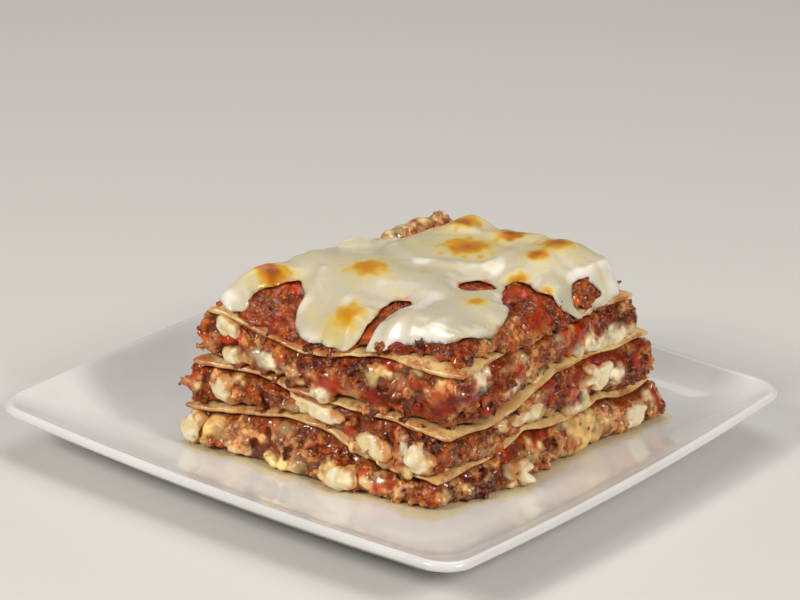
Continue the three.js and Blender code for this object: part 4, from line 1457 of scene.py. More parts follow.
def softened(tree: GeometryTree, skin: Socket) -> Socket:
    """The skin, settled where it isn't grainy."""
    position = tree.step("GeometryNodeInputPosition")
    settled = tree.node("GeometryNodeBlurAttribute", {"data_type": "FLOAT_VECTOR"}, {
        "Value": position, "Iterations": 26,
    })
    softness = tree.step("ShaderNodeMath", {"operation": "SUBTRACT", "use_clamp": True}, {
        0: 1.0, 1: tree.named("grain", "FLOAT"),
    })
    mixed = tree.step("ShaderNodeMix", {"data_type": "VECTOR"}, {
        "Factor": softness, "A": position, "B": Graph.output(settled, "Value"),
    })
    return tree.moved(skin, Position=mixed)


def roughened(tree: GeometryTree, skin: Socket, depth: Socket, frequency: Socket) -> Socket:
    """The skin with granules pushed out of its grainy parts."""
    rough = tree.node("ShaderNodeTexVoronoi", {"voronoi_dimensions": "3D"}, {
        "Vector": tree.step("GeometryNodeInputPosition"), "Scale": frequency, "Randomness": 1.0,
    })
    push = tree.step("ShaderNodeMath", {"operation": "SUBTRACT"}, {0: 0.45, 1: rough.outputs["Distance"]})
    for factor in (depth, tree.named("grain", "FLOAT")):
        push = tree.step("ShaderNodeMath", {"operation": "MULTIPLY"}, {0: push, 1: factor})
    offset = tree.step("ShaderNodeVectorMath", {"operation": "SCALE"}, {
        0: tree.step("GeometryNodeInputNormal"), "Scale": push,
    })
    return tree.moved(skin, Offset=offset)


def crumb_crust_tree() -> GeometryTree:
    """The tree that lays crumbs on points, fuses them with a core and carries their tints over."""
    tree = GeometryTree("crumb_crust")
    core = tree.asked("Core", "Object")
    voxel = tree.asked("Voxel size", "Float")
    depth = tree.asked("Grain depth", "Float")
    frequency = tree.asked("Grain frequency", "Float")
    seed = tree.asked("Seed", "Int")
    finish = tree.asked("Finish", "Material")
    crumbs = laid_crumbs(tree, tree.source.outputs["Geometry"], seed)
    core_info = tree.node("GeometryNodeObjectInfo", {"transform_space": "ORIGINAL"}, {"Object": core})
    parts = [crumbs, core_info.outputs["Geometry"]]
    whole = tree.step("GeometryNodeJoinGeometry", {}, {"Geometry": parts})
    skin = softened(tree, fused_skin(tree, whole, voxel))
    tree.end(roughened(tree, skin, depth, frequency), finish)
    return tree


@dataclass
class Crust:
    """Fuses a field of crumbs with its core into one skin."""

    tree: GeometryTree
    finish: Material
    voxel: float = 0.52
    grain_depth: float = 1.0
    grain_frequency: float = 0.55

    def fuse(self, name: str, crumbs: CrumbField, core: Mesh, seed: int) -> Piece:
        """Makes the crust.

        Args:
            name: The piece's name.
            crumbs: The crumbs.
            core: The closed core, with tints and graininess on its points.
            seed: For the crumbs' turns.

        Returns:
            The piece, in metres.
        """
        return self.tree.run(name, crumbs.carrier(f"{name}_points"), {
            "Core": core.finish(f"{name}_core", scale=1.0), "Voxel size": self.voxel,
            "Grain depth": self.grain_depth, "Grain frequency": self.grain_frequency,
            "Seed": int(seed), "Finish": self.finish,
        })


def sauced(core: Mesh, seed: int) -> Mesh:
    """A core with the tints and graininess of the sauce between the crumbs, orange-brown to dark, darkened as
    painted shade for the gaps.
    """
    share = smooth(0.5 + 0.5 * Ripple(6, seed).at(core.points))[:, None]
    # Painted shade: both tints are sauce colours darkened so that the core, seen between crumbs, reads as
    # shadow in the gaps; the ripple mixes them at random.
    orange = np.array(paint(156, 64, 16))
    dark = np.array(paint(84, 28, 8))
    core.tints = orange * (1 - share) + dark * share
    core.values["grain"] = np.full(len(core.points), 0.35)
    return core


# ---------------------------------------------------------------- fillings


@dataclass
class Filling:
    """One layer of crumbled meat, tomato and curds between two sheets."""

    index: int
    gap: float = 0.3
    recess: float = 0.8
    half_width: float = 50.0
    core_bulge: float = 0.8
    bulge: float = 1.9
    density: float = 0.22
    face_margin: float = 0.04
    sure: float = 0.86
    loose: float = 0.22
    clear_loose: float = 0.2
    clear_tight: float = 0.62
    sunk: float = 0.7
    stray: float = 0.35
    bare_share: float = 0.66
    foot_curve: float = 1.5
    cells: tuple[int, int] = (41, 49)

    def bottom(self, across: Array, along: Array) -> Array:
        """The height of the filling's underside."""
        if self.index == 0:
            return np.full_like(np.asarray(across, float), self.gap)
        return SHEETS[self.index - 1].middle(across, along) + SHEET_THICKNESS / 2 + self.gap

    def top(self, across: Array, along: Array) -> Array:
        """The height of the filling's upper side."""
        return SHEETS[self.index].middle(across, along) - SHEET_THICKNESS / 2 - self.gap

    def spread(self, across: Array, along: Array, share: Array) -> Array:
        """How far the foot has spread at a share of the filling's height."""
        if self.index:
            return np.zeros_like(np.asarray(share * across, float))
        return foot_spread(across, along) * (1 - share) ** self.foot_curve

    def covered(self, face: Face, at: Array, height: Array) -> Array:
        """Whether places on a face lie under a lump of ricotta."""
        under = np.zeros(at.shape, bool)
        for lump in DOLLOPS:
            if lump.layer == self.index and lump.face is face:
                side = (at - lump.at) * FACE_HALF[face] / lump.half[0]
                under |= side ** 2 + ((height - lump.height) / lump.half[2]) ** 2 < self.bare_share ** 2
        return under

    def core(self) -> Mesh:
        """The closed core that carries the crumbs."""
        edge = 1 - self.recess / self.half_width
        across, along = slice_grid(edge, *self.cells)
        lower = SLICE.point(across, along, self.bottom(across, along))
        upper = SLICE.point(across, along, self.top(across, along))
        walk = tuple(np.array(rim_walk(*self.cells)).T)
        rim = across[walk], along[walk]
        out = SLICE.from_middle(*rim, 20)
        reach = self.spread(*rim, np.zeros(len(out)))
        lower[walk] += out * reach[:, None]
        bulge = self.core_bulge * spread_at(BULGES[self.index], rim[0] / edge, rim[1] / edge)

        def wall(low: Points, high: Points, share: float) -> Points:
            """A band of the wall, which curves in above a spread foot or swells between sheets."""
            straight = low - out * reach[:, None]
            away = reach * (1 - share) ** self.foot_curve + bulge * math.sin(share * math.pi) ** 0.6
            return straight + (high - straight) * share + out * away[:, None]

        return sauced(closed_slab(upper, lower, wall, bands=6), Seed.SAUCE_TINT + self.index)

    def kinds(self, face: Face, at: Array, height: Array, dice: Dice) -> list[Stuff]:
        """The kinds of crumbs on a face, from its mix and its named areas."""
        stuffs = drawn_stuff(FACE_MIX[face] if self.index else PALE_MIX, len(at), dice)
        spots = SLICE.point(*face.spot(at), height)
        wander = Ripple(5, Seed.PATCH_OUTLINE + self.index).at(spots)
        sure = dice.random(len(at)) < self.sure
        for patch in PATCHES.get((self.index, face), ()):
            for k in np.flatnonzero(patch.holds(face, at, height, wander) & sure):
                stuffs[k] = patch.stuff
        return stuffs

    def strew(self, made: CrumbField, face: Face, dice: Dice) -> None:
        """Strews crumbs over one cut face."""
        across, along = face.spot(np.linspace(-1, 1, 60))
        tall = float(np.mean(self.top(across, along) - self.bottom(across, along)))
        count = int(2 * FACE_HALF[face] * tall * self.density)
        at = dice.uniform(-1, 1, count)
        share = dice.uniform(self.face_margin, 1 - self.face_margin, count)
        across, along = face.spot(at)
        low, high = self.bottom(across, along), self.top(across, along)
        height = low + (high - low) * share
        spots = SLICE.point(across, along, height)
        stuffs = self.kinds(face, at, height, dice)
        radii = np.array([sum(stuff.value.radii) / 2 for stuff in stuffs])
        hold = np.where(dice.random(count) < self.loose, self.clear_loose, self.clear_tight)
        keep = np.clip(1 - radii * hold / ((high - low) / 2), 0.05, 1)
        height = (low + high) / 2 + (height - (low + high) / 2) * keep
        belly = np.sqrt(np.clip(4 * share * (1 - share), 0, 1))
        stand = self.spread(across, along, share) + self.bulge * belly - radii * self.sunk
        uneven = Ripple(13, Seed.CRUMB_STAND + self.index).at(spots)
        stand = stand + dice.normal(0, self.stray, count) + 0.4 * uneven
        places = SLICE.off_face(face, at, height, stand)
        swell = spread_at(BULGES[self.index], across, along) * belly
        places = places + SLICE.from_middle(across, along, height) * swell[:, None]
        bare = ~self.covered(face, at, height)
        made.add(places[bare], [stuff for stuff, seen in zip(stuffs, bare) if seen], dice)

    def build(self, crust: Crust) -> Piece:
        """Builds the filling, with crumbs over its four cut faces, and dresses it."""
        crumbs = CrumbField()
        dice = np.random.default_rng(Seed.CRUMBS + self.index)
        for face in Face:
            self.strew(crumbs, face, dice)
        crumbs.spill(self.index, dice)
        number = self.index + 1
        piece = crust.fuse(f"meat_layer_{number}", crumbs, self.core(), Seed.CRUMB_TURN + self.index)
        wear(piece, crust.finish, "meat_filling", f"filling_{number}")
        return piece


# ---------------------------------------------------------------- outline of the melted cheese


def between(t: Array, start: float, end: float, first: Points, last: Points) -> Points:
    """Points on the straight way from one point to another, at times between theirs."""
    return (end - t) / (end - start) * first + (t - start) / (end - start) * last


def closed_spline(spots: Sequence[tuple[float, float]], steps: int) -> Points:
    """A closed centripetal Catmull-Rom curve through plan points.

    Args:
        spots: X and Y of the points.
        steps: How many points each stretch gets.

    Returns:
        The curve's points, in order.
    """
    knots = np.asarray(spots, float)
    count = len(knots)
    curve = []
    for k in range(count):
        near = [knots[(k + shift) % count] for shift in (-1, 0, 1, 2)]
        times = [0.0]
        for here, after in zip(near, near[1:]):
            times.append(times[-1] + max(np.linalg.norm(after - here), 1e-6) ** 0.5)
        t = np.linspace(times[1], times[2], steps, endpoint=False)[:, None]
        for reach in (1, 2):
            near = [between(t, *span) for span in zip(times, times[reach:], near, near[1:])]
        curve.append(between(t, *times[1:3], *near))
    return np.concatenate(curve)


@dataclass(frozen=True)
class Outline:
    """Closed curves in plan that bound an area, the first outside and the others holes."""

    curves: tuple[Points, ...]

    def inside(self, plan: Points) -> Array:
        """Whether points lie in the area, by counting crossings."""
        crossings = np.zeros(len(plan), int)
        for curve in self.curves:
            start, end = curve, np.roll(curve, -1, axis=0)
            for (x0, y0), (x1, y1) in zip(start, end):
                straddle = (plan[:, 1] >= y0) != (plan[:, 1] >= y1)
                rise = y1 - y0 if y1 != y0 else 1e-9
                crossings += straddle & (plan[:, 0] < x0 + (x1 - x0) * (plan[:, 1] - y0) / rise)
        return crossings % 2 == 1

    def nearest(self, plan: Points) -> tuple[Array, Points]:
        """The distance to the nearest edge and the nearest point on it."""
        best = np.full(len(plan), 1e9)
        spot = np.zeros_like(plan)
        for curve in self.curves:
            start, end = curve, np.roll(curve, -1, axis=0)
            for a, b in zip(start, end):
                way = b - a
                share = np.clip((plan - a) @ way / max(way @ way, 1e-12), 0, 1)
                foot = a + share[:, None] * way
                gap = np.linalg.norm(plan - foot, axis=1)
                nearer = gap < best
                best[nearer] = gap[nearer]
                spot[nearer] = foot[nearer]
        return best, spot


CHEESE_EDGE = (
    (-0.98, -0.93), (-0.93, -1), (-0.86, -1.025), (-0.78, -1.01), (-0.75, -0.975), (-0.77, -0.89),
    (-0.765, -0.8), (-0.71, -0.69), (-0.64, -0.6), (-0.55, -0.69), (-0.47, -0.82), (-0.4, -0.92),
    (-0.26, -0.985), (-0.1, -1), (0.03, -1.03), (0.13, -1.04), (0.155, -0.98), (0.165, -0.88),
    (0.14, -0.76), (0.09, -0.64), (0.1, -0.52), (0.18, -0.49), (0.25, -0.57), (0.22, -0.7),
    (0.255, -0.86), (0.25, -0.97), (0.3, -1.05), (0.4, -1.04), (0.46, -0.99), (0.54, -0.965),
    (0.65, -0.95), (0.78, -0.935), (0.91, -0.885), (0.955, -0.76), (0.955, -0.62), (0.94, -0.5),
    (0.91, -0.37), (0.83, -0.25), (0.7, -0.125), (0.58, 0.02), (0.53, 0.14), (0.54, 0.24),
    (0.62, 0.235), (0.72, 0.205), (0.85, 0.19), (0.95, 0.2), (1, 0.27), (1.05, 0.32), (1.055, 0.4),
    (1.045, 0.55), (1.04, 0.75), (1.02, 0.88), (0.97, 0.95), (0.85, 0.985), (0.6, 1), (0.2, 0.98),
    (-0.2, 1.01), (-0.6, 0.97), (-0.7, 0.7), (-0.78, 0.4), (-0.83, 0.2), (-0.9, 0.12), (-1, -0.1),
    (-1.02, -0.5),
)
CHEESE_HOLES = (
    ((0.947, 0.385), (0.893, 0.455), (0.887, 0.55), (0.933, 0.62), (0.968, 0.69), (0.988, 0.67),
     (1.008, 0.57), (1.024, 0.45), (1.026, 0.39), (0.99, 0.37)),
    ((0.24, -0.05), (0.26, 0.07), (0.34, 0.11), (0.5, 0.05), (0.44, -0.06), (0.34, -0.12)),
)


def cheese_outline() -> Outline:
    """The melted cheese's outline and holes in plan."""
    def curve(spots: Sequence[tuple[float, float]]) -> Points:
        """A closed curve through places in slice coordinates."""
        across, along = np.array(spots).T
        drawn = closed_spline(SLICE.point(across, along, SLICE.corner_height)[:, :2], steps=8)
        seeds = (Seed.CHEESE_OUTLINE_X, Seed.CHEESE_OUTLINE_Y)
        return drawn + 0.4 * np.column_stack([Ripple(7, seed).at(drawn) for seed in seeds])

    return Outline((curve(CHEESE_EDGE), *(curve(hole) for hole in CHEESE_HOLES)))


# ---------------------------------------------------------------- meat sauce over the top sheet


@dataclass(frozen=True)
class SauceBed:
    """The bed of meat sauce over the top sheet, which thins to its edges and down its shoulder."""

    lift: float = 0.5
    thickness: float = 6.5
    least: float = 0.6
    edge_share: float = 0.2
    ramp: float = 0.13
    back_ramp: float = 0.06
    side_ramp: float = 0.1
    mounds: tuple[Wave, ...] = (
        Wave(0.58, 0.85, 4.2, 0.4), Wave(0.42, 1, 2.4, 0.2), Wave(-0.55, 1.05, 3, 0.26),
        Wave(-0.25, 0.92, -1, 0.16), Wave(0.2, 0.97, 3, 0.16),
    )
    heap_rise: float = 2.9
    heap_across: tuple[float, float] = (0.74, 0.1)
    heap_along: tuple[float, float] = (0.06, 0.12)
    heap_fall: tuple[float, float] = (0.65, 0.3)
    shoulder_across: float = -0.45
    shoulder_depth: float = 0.85
    shoulder_reach: float = 0.42
    shoulder_length: float = 0.34

    def bottom(self, across: Array, along: Array) -> Array:
        """The height of the bed's underside."""
        return SHEETS[-1].middle(across, along) + SHEET_THICKNESS / 2 + self.lift

    def depth(self, across: Array, along: Array) -> Array:
        """The thickness of the sauce."""
        def climb(distance: Array, ramp: float) -> Array:
            """How much of the full thickness is reached at a distance from an edge."""
            return smooth(distance / ramp + self.edge_share)

        held_across, held_along = np.clip(across, -1, 1), np.clip(along, -1, 1)
        edges = climb(1 - np.abs(held_across), self.side_ramp)
        edges = edges * climb(1 + held_along, self.ramp) * climb(1 - held_along, self.back_ramp)
        fall = self.shoulder_depth * bell(held_across - self.shoulder_across, self.shoulder_reach)
        sunk = fall * (1 - smooth((1 + held_along) / self.shoulder_length))
        full = self.thickness + sum(
            mound.rise * bell(np.hypot(held_across - mound.across, held_along - mound.along), mound.reach)
            for mound in self.mounds
        )
        heap = ease(-held_across, *self.heap_across) * ease(held_along, *self.heap_along)
        heap = heap * (1 - 0.5 * ease(held_along, *self.heap_fall)) * smooth((1 - held_along) / 0.08 + 0.3)
        return np.maximum(self.least, full * edges * (1 - sunk)) + self.heap_rise * heap

    def top(self, across: Array, along: Array) -> Array:
        """The height of the sauce's top."""
        return self.bottom(across, along) + self.depth(across, along)


SAUCE_BED = SauceBed()


@dataclass(frozen=True)
class TopPatch:
    """A named area of the sauce's top, in slice coordinates, and what fills it."""

    name: str
    across: float
    along: float
    half: tuple[float, float]
    stuff: Stuff

    def holds(self, across: Array, along: Array, wander: Array) -> Array:
        """Whether places lie in the patch, whose outline wanders."""
        offset = ((across - self.across) / self.half[0]) ** 2 + ((along - self.along) / self.half[1]) ** 2
        return offset < (1 + 0.3 * wander) ** 2


TOP_PATCHES = (
    TopPatch("dark red at left", -0.66, -0.86, (0.14, 0.12), Stuff.BROWN_MEAT),
    TopPatch("orange sauce by the cheese", -0.47, -0.84, (0.09, 0.16), Stuff.SAUCE),
    TopPatch("red channel", 0.2, -0.75, (0.1, 0.3), Stuff.SAUCE),
    TopPatch("jam under the lip", 0.5, -1.0, (0.14, 0.1), Stuff.JAM),
    TopPatch("vivid bay", 0.68, 0.06, (0.1, 0.12), Stuff.TOMATO),
    TopPatch("maroon in the bay", 0.84, -0.1, (0.12, 0.14), Stuff.MAROON_MEAT),
    TopPatch("tan at the corner", 0.98, -0.55, (0.12, 0.25), Stuff.TAN_MEAT),
    TopPatch("tomato at right", 1.0, -0.02, (0.12, 0.2), Stuff.TOMATO),
    TopPatch("island", 0.36, 0.0, (0.18, 0.14), Stuff.SAUCE),
    TopPatch("brown in the hole", 0.97, 0.5, (0.1, 0.2), Stuff.BROWN_MEAT),
    TopPatch("pink crumbs at the back", -0.9, 0.6, (0.2, 0.62), Stuff.PINK_MEAT),
    TopPatch("cream at the back", -0.88, 0.3, (0.18, 0.2), Stuff.CREAM),
    TopPatch("cream on the heap", -0.9, 0.72, (0.14, 0.13), Stuff.CREAM),
)


@dataclass
class TopSauce:
    """The meat sauce that shows through the holes in the cheese and at its edges."""

    density: float = 0.2
    area: float = 95.0 * 112.0
    level: float = 56.0
    edge: float = 0.985
    core_sink: float = 0.5
    core_drop: float = 0.4
    crumb_sink: float = 1.0
    stray: float = 0.45
    sure: float = 0.8
    cheese_cover: float = 3.0
    cover_slope: float = 0.7
    rim_sink: float = 1.1
    rim_reach: float = 2.4
    side_height: float = 5.0
    side_share: tuple[float, float] = (0.1, 0.95)
    side_inland: float = 0.94
    side_stand: tuple[float, float] = (-1.0, 0.5)
    side_lean: float = 2.2
    cells: tuple[int, int] = (61, 73)

    def core(self) -> Mesh:
        """The closed core of the bed."""
        across, along = slice_grid(self.edge, *self.cells)
        upper = SLICE.point(across, along, SAUCE_BED.top(across, along) - self.core_sink)
        lower = SLICE.point(across, along, SAUCE_BED.bottom(across, along) - self.core_drop)
        return sauced(closed_slab(upper, lower, straight_wall, bands=3), Seed.TOP_SAUCE_TINT)

    def crumbs(self, outline: Outline) -> CrumbField:
        """The crumbs that show on top and down the sides."""
        dice = np.random.default_rng(Seed.TOP_CRUMBS)
        places, stuffs = self.on_top(outline, dice)
        for face in Face:
            side_places, side_stuffs = self.on_side(face, outline, dice)
            places = np.concatenate([places, side_places])
            stuffs += side_stuffs
        made = CrumbField()
        made.add(places, stuffs, dice)
        made.spill(len(SHEETS), dice)
        return made

    def on_top(self, outline: Outline, dice: Dice) -> tuple[Points, list[Stuff]]:
        """Crumbs on the bed's top, which sink the further the cheese covers them."""
        across, along = dice.uniform(-1, 1, (2, int(self.area * self.density)))
        plan = SLICE.point(across, along, self.level)[:, :2]
        distance, _ = outline.nearest(plan)
        inside = outline.inside(plan)
        bare = ~(inside & (distance > self.cheese_cover))
        across, along, inside, distance = across[bare], along[bare], inside[bare], distance[bare]
        covered = self.cover_slope * (inside * distance) + self.rim_sink * bell(distance, self.rim_reach)
        stray = dice.normal(0, self.stray, len(across))
        height = SAUCE_BED.top(across, along) - self.crumb_sink + stray - covered
        return SLICE.point(across, along, height), self.kinds(across, along, dice)

    def on_side(self, face: Face, outline: Outline, dice: Dice) -> tuple[Points, list[Stuff]]:
        """Crumbs down one side of the bed, where the cheese leaves them free."""
        at = dice.uniform(-1, 1, int(2 * FACE_HALF[face] * self.side_height * self.density))
        across, along = face.spot(at)
        share = dice.uniform(*self.side_share, len(at))
        depth = SAUCE_BED.depth(across * self.side_inland, along * self.side_inland)
        height = SAUCE_BED.bottom(across, along) + depth * share
        stand = dice.normal(*self.side_stand, len(at)) - self.side_lean * share ** 2
        spots = SLICE.off_face(face, at, height, stand)
        below = height < SAUCE_BED.top(across, along) - self.crumb_sink
        bare = ~outline.inside(spots[:, :2]) | below
        return spots[bare], self.kinds(across[bare], along[bare], dice)

    def kinds(self, across: Array, along: Array, dice: Dice) -> list[Stuff]:
        """The kind of each crumb, from the named areas or the mix for the top."""
        stuffs = drawn_stuff(TOP_MIX, len(across), dice)
        wander = Ripple(7, Seed.TOP_PATCH_OUTLINE).at(SLICE.point(across, along, 50))
        sure = dice.random(len(across)) < self.sure
        for patch in TOP_PATCHES:
            for k in np.flatnonzero(patch.holds(across, along, wander) & sure):
                stuffs[k] = patch.stuff
        return stuffs

    def build(self, crust: Crust, outline: Outline) -> Piece:
        """Builds the sauce and dresses it."""
        crumbs = self.crumbs(outline)
        piece = crust.fuse("meat_sauce_on_top", crumbs, self.core(), Seed.TOP_CRUMB_TURN)
        wear(piece, crust.finish, "meat_sauce", "top_sauce")
        return piece


# ---------------------------------------------------------------- melted cheese


SPOT_LEVEL = 57.0


@dataclass(frozen=True)
class ToastedSpot:
    """A toasted spot on the cheese: its place, its half sizes in millimetres and how dark it is."""

    name: str
    across: float
    along: float
    half: tuple[float, float]
    dark: float


TOASTED = (
    ToastedSpot("left end", -0.83, -0.71, (9.5, 7), 0.98),
    ToastedSpot("middle left", -0.35, -0.31, (11, 11.5), 0.66),
    ToastedSpot("front lobe", -0.03, -0.88, (9.5, 10), 0.6),
    ToastedSpot("back", -0.5, 0.8, (9.5, 9), 0.86),
    ToastedSpot("orange at the back", -0.02, 0.84, (9, 8.5), 0.98),
    ToastedSpot("large at the back", -0.11, 0.46, (14.5, 13), 0.78),
    ToastedSpot("streak at the back", 0.5, 0.8, (9.5, 9.5), 0.86),
    ToastedSpot("brown at the back", 0.51, 0.55, (6.5, 7), 0.84),
    ToastedSpot("by the bay", 0.56, 0.26, (5.2, 5), 0.66),
    ToastedSpot("faint by the hole", 0.86, 0.21, (3.6, 4), 0.5),
    ToastedSpot("small in front", 0.64, -0.37, (5.8, 6.5), 0.55),
    ToastedSpot("faint in the middle", 0, -0.13, (6, 5), 0.26),
)


@dataclass(frozen=True)
class Thinning:
    """Where the melted cheese runs out thinly into the sauce."""

    name: str
    across: float
    along: float
    reach: float
    share: float


THIN_EDGES = (
    Thinning("foot of the channel", 0.2, -0.85, 0.16, 0.9),
    Thinning("head of the channel", 0.14, -0.5, 0.22, 1.0),
    Thinning("left bay", -0.62, -0.62, 0.22, 1.0),
    Thinning("right bay", 0.64, 0.06, 0.26, 0.8),
    Thinning("bay's front", 0.9, -0.5, 0.26, 0.6),
    Thinning("island", 0.36, 0.0, 0.24, 1.0),
    Thinning("hole", 0.97, 0.42, 0.2, 0.7),
)


@dataclass(frozen=True)
class Fold:
    """A soft ridge of cheese between two plan places, with its rise and half width in millimetres."""

    name: str
    start: tuple[float, float]
    end: tuple[float, float]
    rise: float
    half: float

    def at(self, plan: Points) -> Array:
        """The ridge's height at plan positions."""
        start, end = (SLICE.point(*place, SPOT_LEVEL)[:2] for place in (self.start, self.end))
        way = end - start
        share = np.clip((plan - start) @ way / (way @ way), 0, 1)
        away = np.linalg.norm(plan - start - share[:, None] * way, axis=1)
        return self.rise * bell(away, self.half)


# Each fold raises a ridge and whitens it; the whitening is partly a painted highlight.
FOLDS = (
    Fold("left of the large spot", (-0.6, 0.2), (-0.2, 0.02), 0.6, 3.4),
    Fold("in front of the large spot", (-0.12, 0.06), (0.3, 0.3), 0.8, 3.2),
    Fold("right of the large spot", (0.28, 0.32), (0.22, 0.7), 0.7, 3.2),
    Fold("streaks by the left bay", (-0.62, -0.46), (-0.52, -0.66), 0.6, 2.2),
    Fold("between the spots at the back", (-0.5, 0.72), (-0.05, 0.8), 0.8, 2.6),
    Fold("along the right edge", (0.94, 0.56), (0.98, 0.84), 1.0, 3.0),
    Fold("into the middle lobe", (0.3, -0.3), (0.45, -0.8), 0.6, 5.0),
    Fold("into the left lobe", (-0.3, -0.3), (-0.1, -0.9), 0.6, 6.0),
)
BEAD = Fold("bead at the left edge", (-0.93, 0.06), (-0.88, 0.1), 3.4, 2.8)


@dataclass
class CheeseBlanket:
    """The melted cheese, draped over the sauce with thick rounded edges."""

    outline: Outline
    pitch: float = 0.62
    thickness: float = 1.7
    thinned: float = 0.4
    body: float = 1.2
    body_reach: float = 9.0
    billow: float = 0.5
    dome: float = 1.3
    inland: float = 5.0
    edge_swell: float = 0.3
    edge_unevenness: float = 0.3
    edge_width: float = 2.7
    thin_width: float = 4.5
    sink: float = 0.35
    rise: float = 0.25
    drape: float = 1.3
    drape_from: float = 0.99
    right_drape: float = 1.0
    overlap: float = 0.075
    spot_turn: float = 36.0
    stain_width: float = 1.6
    thin_stain_width: float = 3.4
    white_rim: float = 0.62
    white_reach: float = 4.4

    def height(self, plan: Points) -> tuple[Array, Array, Array]:
        """The height of what the cheese lies on, with across and along, at plan positions."""
        level = np.full(len(plan), 56.0)
        for _ in range(3):
            across, along = SLICE.coordinates(plan, level)
            level = SAUCE_BED.top(across, along)
        edge = np.maximum(np.abs(across), np.abs(along))
        hang = self.drape + self.right_drape * ease(across, 0.96, 0.06)
        return level - hang * ease(edge, self.drape_from, self.overlap), across, along

    def grid(self) -> tuple[Points, list[Sequence[int]], Array]:
        """The plan grid of the blanket: its points, faces, and which points lie on the edge."""
        curve = self.outline.curves[0]
        low, high = curve.min(axis=0) - 1, curve.max(axis=0) + 1
        xs = np.arange(low[0], high[0], self.pitch)
        ys = np.arange(low[1], high[1], self.pitch)
        plan = np.stack(np.meshgrid(xs, ys, indexing="ij"), axis=-1).reshape(-1, 2)
        inside = self.outline.inside(plan).reshape(len(xs), len(ys))
        cells = inside[:-1, :-1] | inside[1:, :-1] | inside[1:, 1:] | inside[:-1, 1:]
        index = np.arange(len(plan)).reshape(len(xs), len(ys))
        i, j = np.nonzero(cells)
        quads = np.stack([index[i, j], index[i + 1, j], index[i + 1, j + 1], index[i, j + 1]], axis=1)
        used, flat = np.unique(quads, return_inverse=True)
        faces = flat.reshape(-1, 4)
        plan = plan[used]
        outer = ~inside.reshape(-1)[used]
        _, spot = self.outline.nearest(plan[outer])
        plan[outer] = spot
        return plan, faces.tolist(), outer

    def toasted(self, plan: Points) -> tuple[Array, Array, Array]:
        """How toasted the cheese is, how far each spot's warm halo reaches, and how it has domed."""
        brown, halo, dome = np.zeros((3, len(plan)))
        wander = Ripple(6, Seed.TOAST_OUTLINE).at(plan)
        turn = math.radians(self.spot_turn)
        for spot in TOASTED:
            away = plan - SLICE.point(spot.across, spot.along, SPOT_LEVEL)[:2]
            right = away @ np.array([math.cos(turn), math.sin(turn)]) / spot.half[0]
            back = away @ np.array([-math.sin(turn), math.cos(turn)]) / spot.half[1]
            reach = np.hypot(right, back)
            dome = np.maximum(dome, spot.dark * bell(reach, 1.2))
            reach = reach * (1 + 0.2 * wander)
            brown = np.maximum(brown, spot.dark * (1 - smooth(reach)))
            halo = np.maximum(halo, spot.dark * bell(reach, 1.3))
        return brown, halo, dome

    def thin(self, across: Array, along: Array) -> Array:
        """How thinly the cheese runs out, from the named places."""
        shares = [t.share * bell(np.hypot(across - t.across, along - t.along), t.reach) for t in THIN_EDGES]
        return np.max(shares, axis=0)

    def skin(self, plan: Points, distance: Array) -> tuple[Points, Points, dict[str, Array]]:
        """The blanket's top and underside at plan positions.

        Args:
            plan: X and Y in millimetres.
            distance: How far each lies from the outline.

        Returns:
            The top points, the bottom points, and what the finish reads.
        """
        base, across, along = self.height(plan)
        thin = self.thin(across, along)
        share = np.clip(distance / (self.edge_width + self.thin_width * thin), 0, 1)
        profile = np.sqrt(1 - (1 - share) ** 2)
        uneven = Ripple(8, Seed.CHEESE_RIM).at(plan)
        swell = self.edge_swell + self.edge_unevenness * uneven
        swell = swell * bell(distance - self.edge_width, self.edge_width) * (1 - thin)
        billow = self.billow * Ripple(26, Seed.CHEESE_BILLOW).at(plan)
        billow = billow + self.body * smooth(distance / self.body_reach)
        browned, halo, dome = self.toasted(plan)
        folds = sum(fold.at(plan) for fold in FOLDS)
        depth = profile * (self.thickness * (1 - self.thinned * thin) + swell + BEAD.at(plan))
        depth = depth + (billow + self.dome * smooth(dome * 1.1) + folds) * smooth(distance / self.inland)
        curl = self.rise * (1 - share) ** 2 * (1 - thin)
        top = np.column_stack([plan, SLICE.well_top + base + curl + depth])
        bottom = np.column_stack([plan, SLICE.well_top + base + curl - self.sink * share])
        patchy = 0.3 + 0.7 * smooth(0.5 + Ripple(11, Seed.CHEESE_STAIN).at(plan))
        seep = 1 - distance / (self.stain_width + self.thin_stain_width * thin)
        stain = np.clip((0.35 + 0.5 * thin) * seep, 0, 1) * patchy
        rim = self.white_rim * bell(distance, self.white_reach) * (1 - thin)
        cloudy = 0.3 * Ripple(14, Seed.CHEESE_WHITENESS).at(plan)
        # Whiter at the rim and at random, less in the toasted halos, and whiter along the folds: partly the
        # paler cheese of the ridges and partly a painted highlight along them.
        whiteness = np.clip(rim + 0.7 * folds + cloudy - 0.6 * halo, 0, 1)
        return top, bottom, {"browned": browned, "halo": halo, "whiteness": whiteness, "stain": stain}

    def build(self, finish: Material) -> Piece:
        """Builds the blanket and dresses it."""
        plan, faces, outer = self.grid()
        distance, _ = self.outline.nearest(plan)
        distance[outer] = 0
        top, bottom, values = self.skin(plan, distance)
        count = len(plan)
        twin = np.arange(count) + count
        twin[outer] = np.flatnonzero(outer)
        under = [[int(twin[k]) for k in reversed(face)] for face in faces]
        kept = np.ones(2 * count, bool)
        kept[count:][outer] = False
        renumber = np.cumsum(kept) - 1
        points = np.concatenate([top, bottom])[kept]
        all_faces = []
        for face in [*faces, *under]:
            loop = []
            for k in face:
                if renumber[k] not in loop:
                    loop.append(int(renumber[k]))
            all_faces.append(loop)
        made = Mesh(points, [face for face in all_faces if len(face) > 2])
        for name, value in values.items():
            made.values[name] = np.concatenate([value, value])[kept]
        blanket = made.finish("cheese_blanket")
        self.tidy(blanket)
        wear(blanket, finish, "melted_cheese", "melted_cheese")
        return blanket

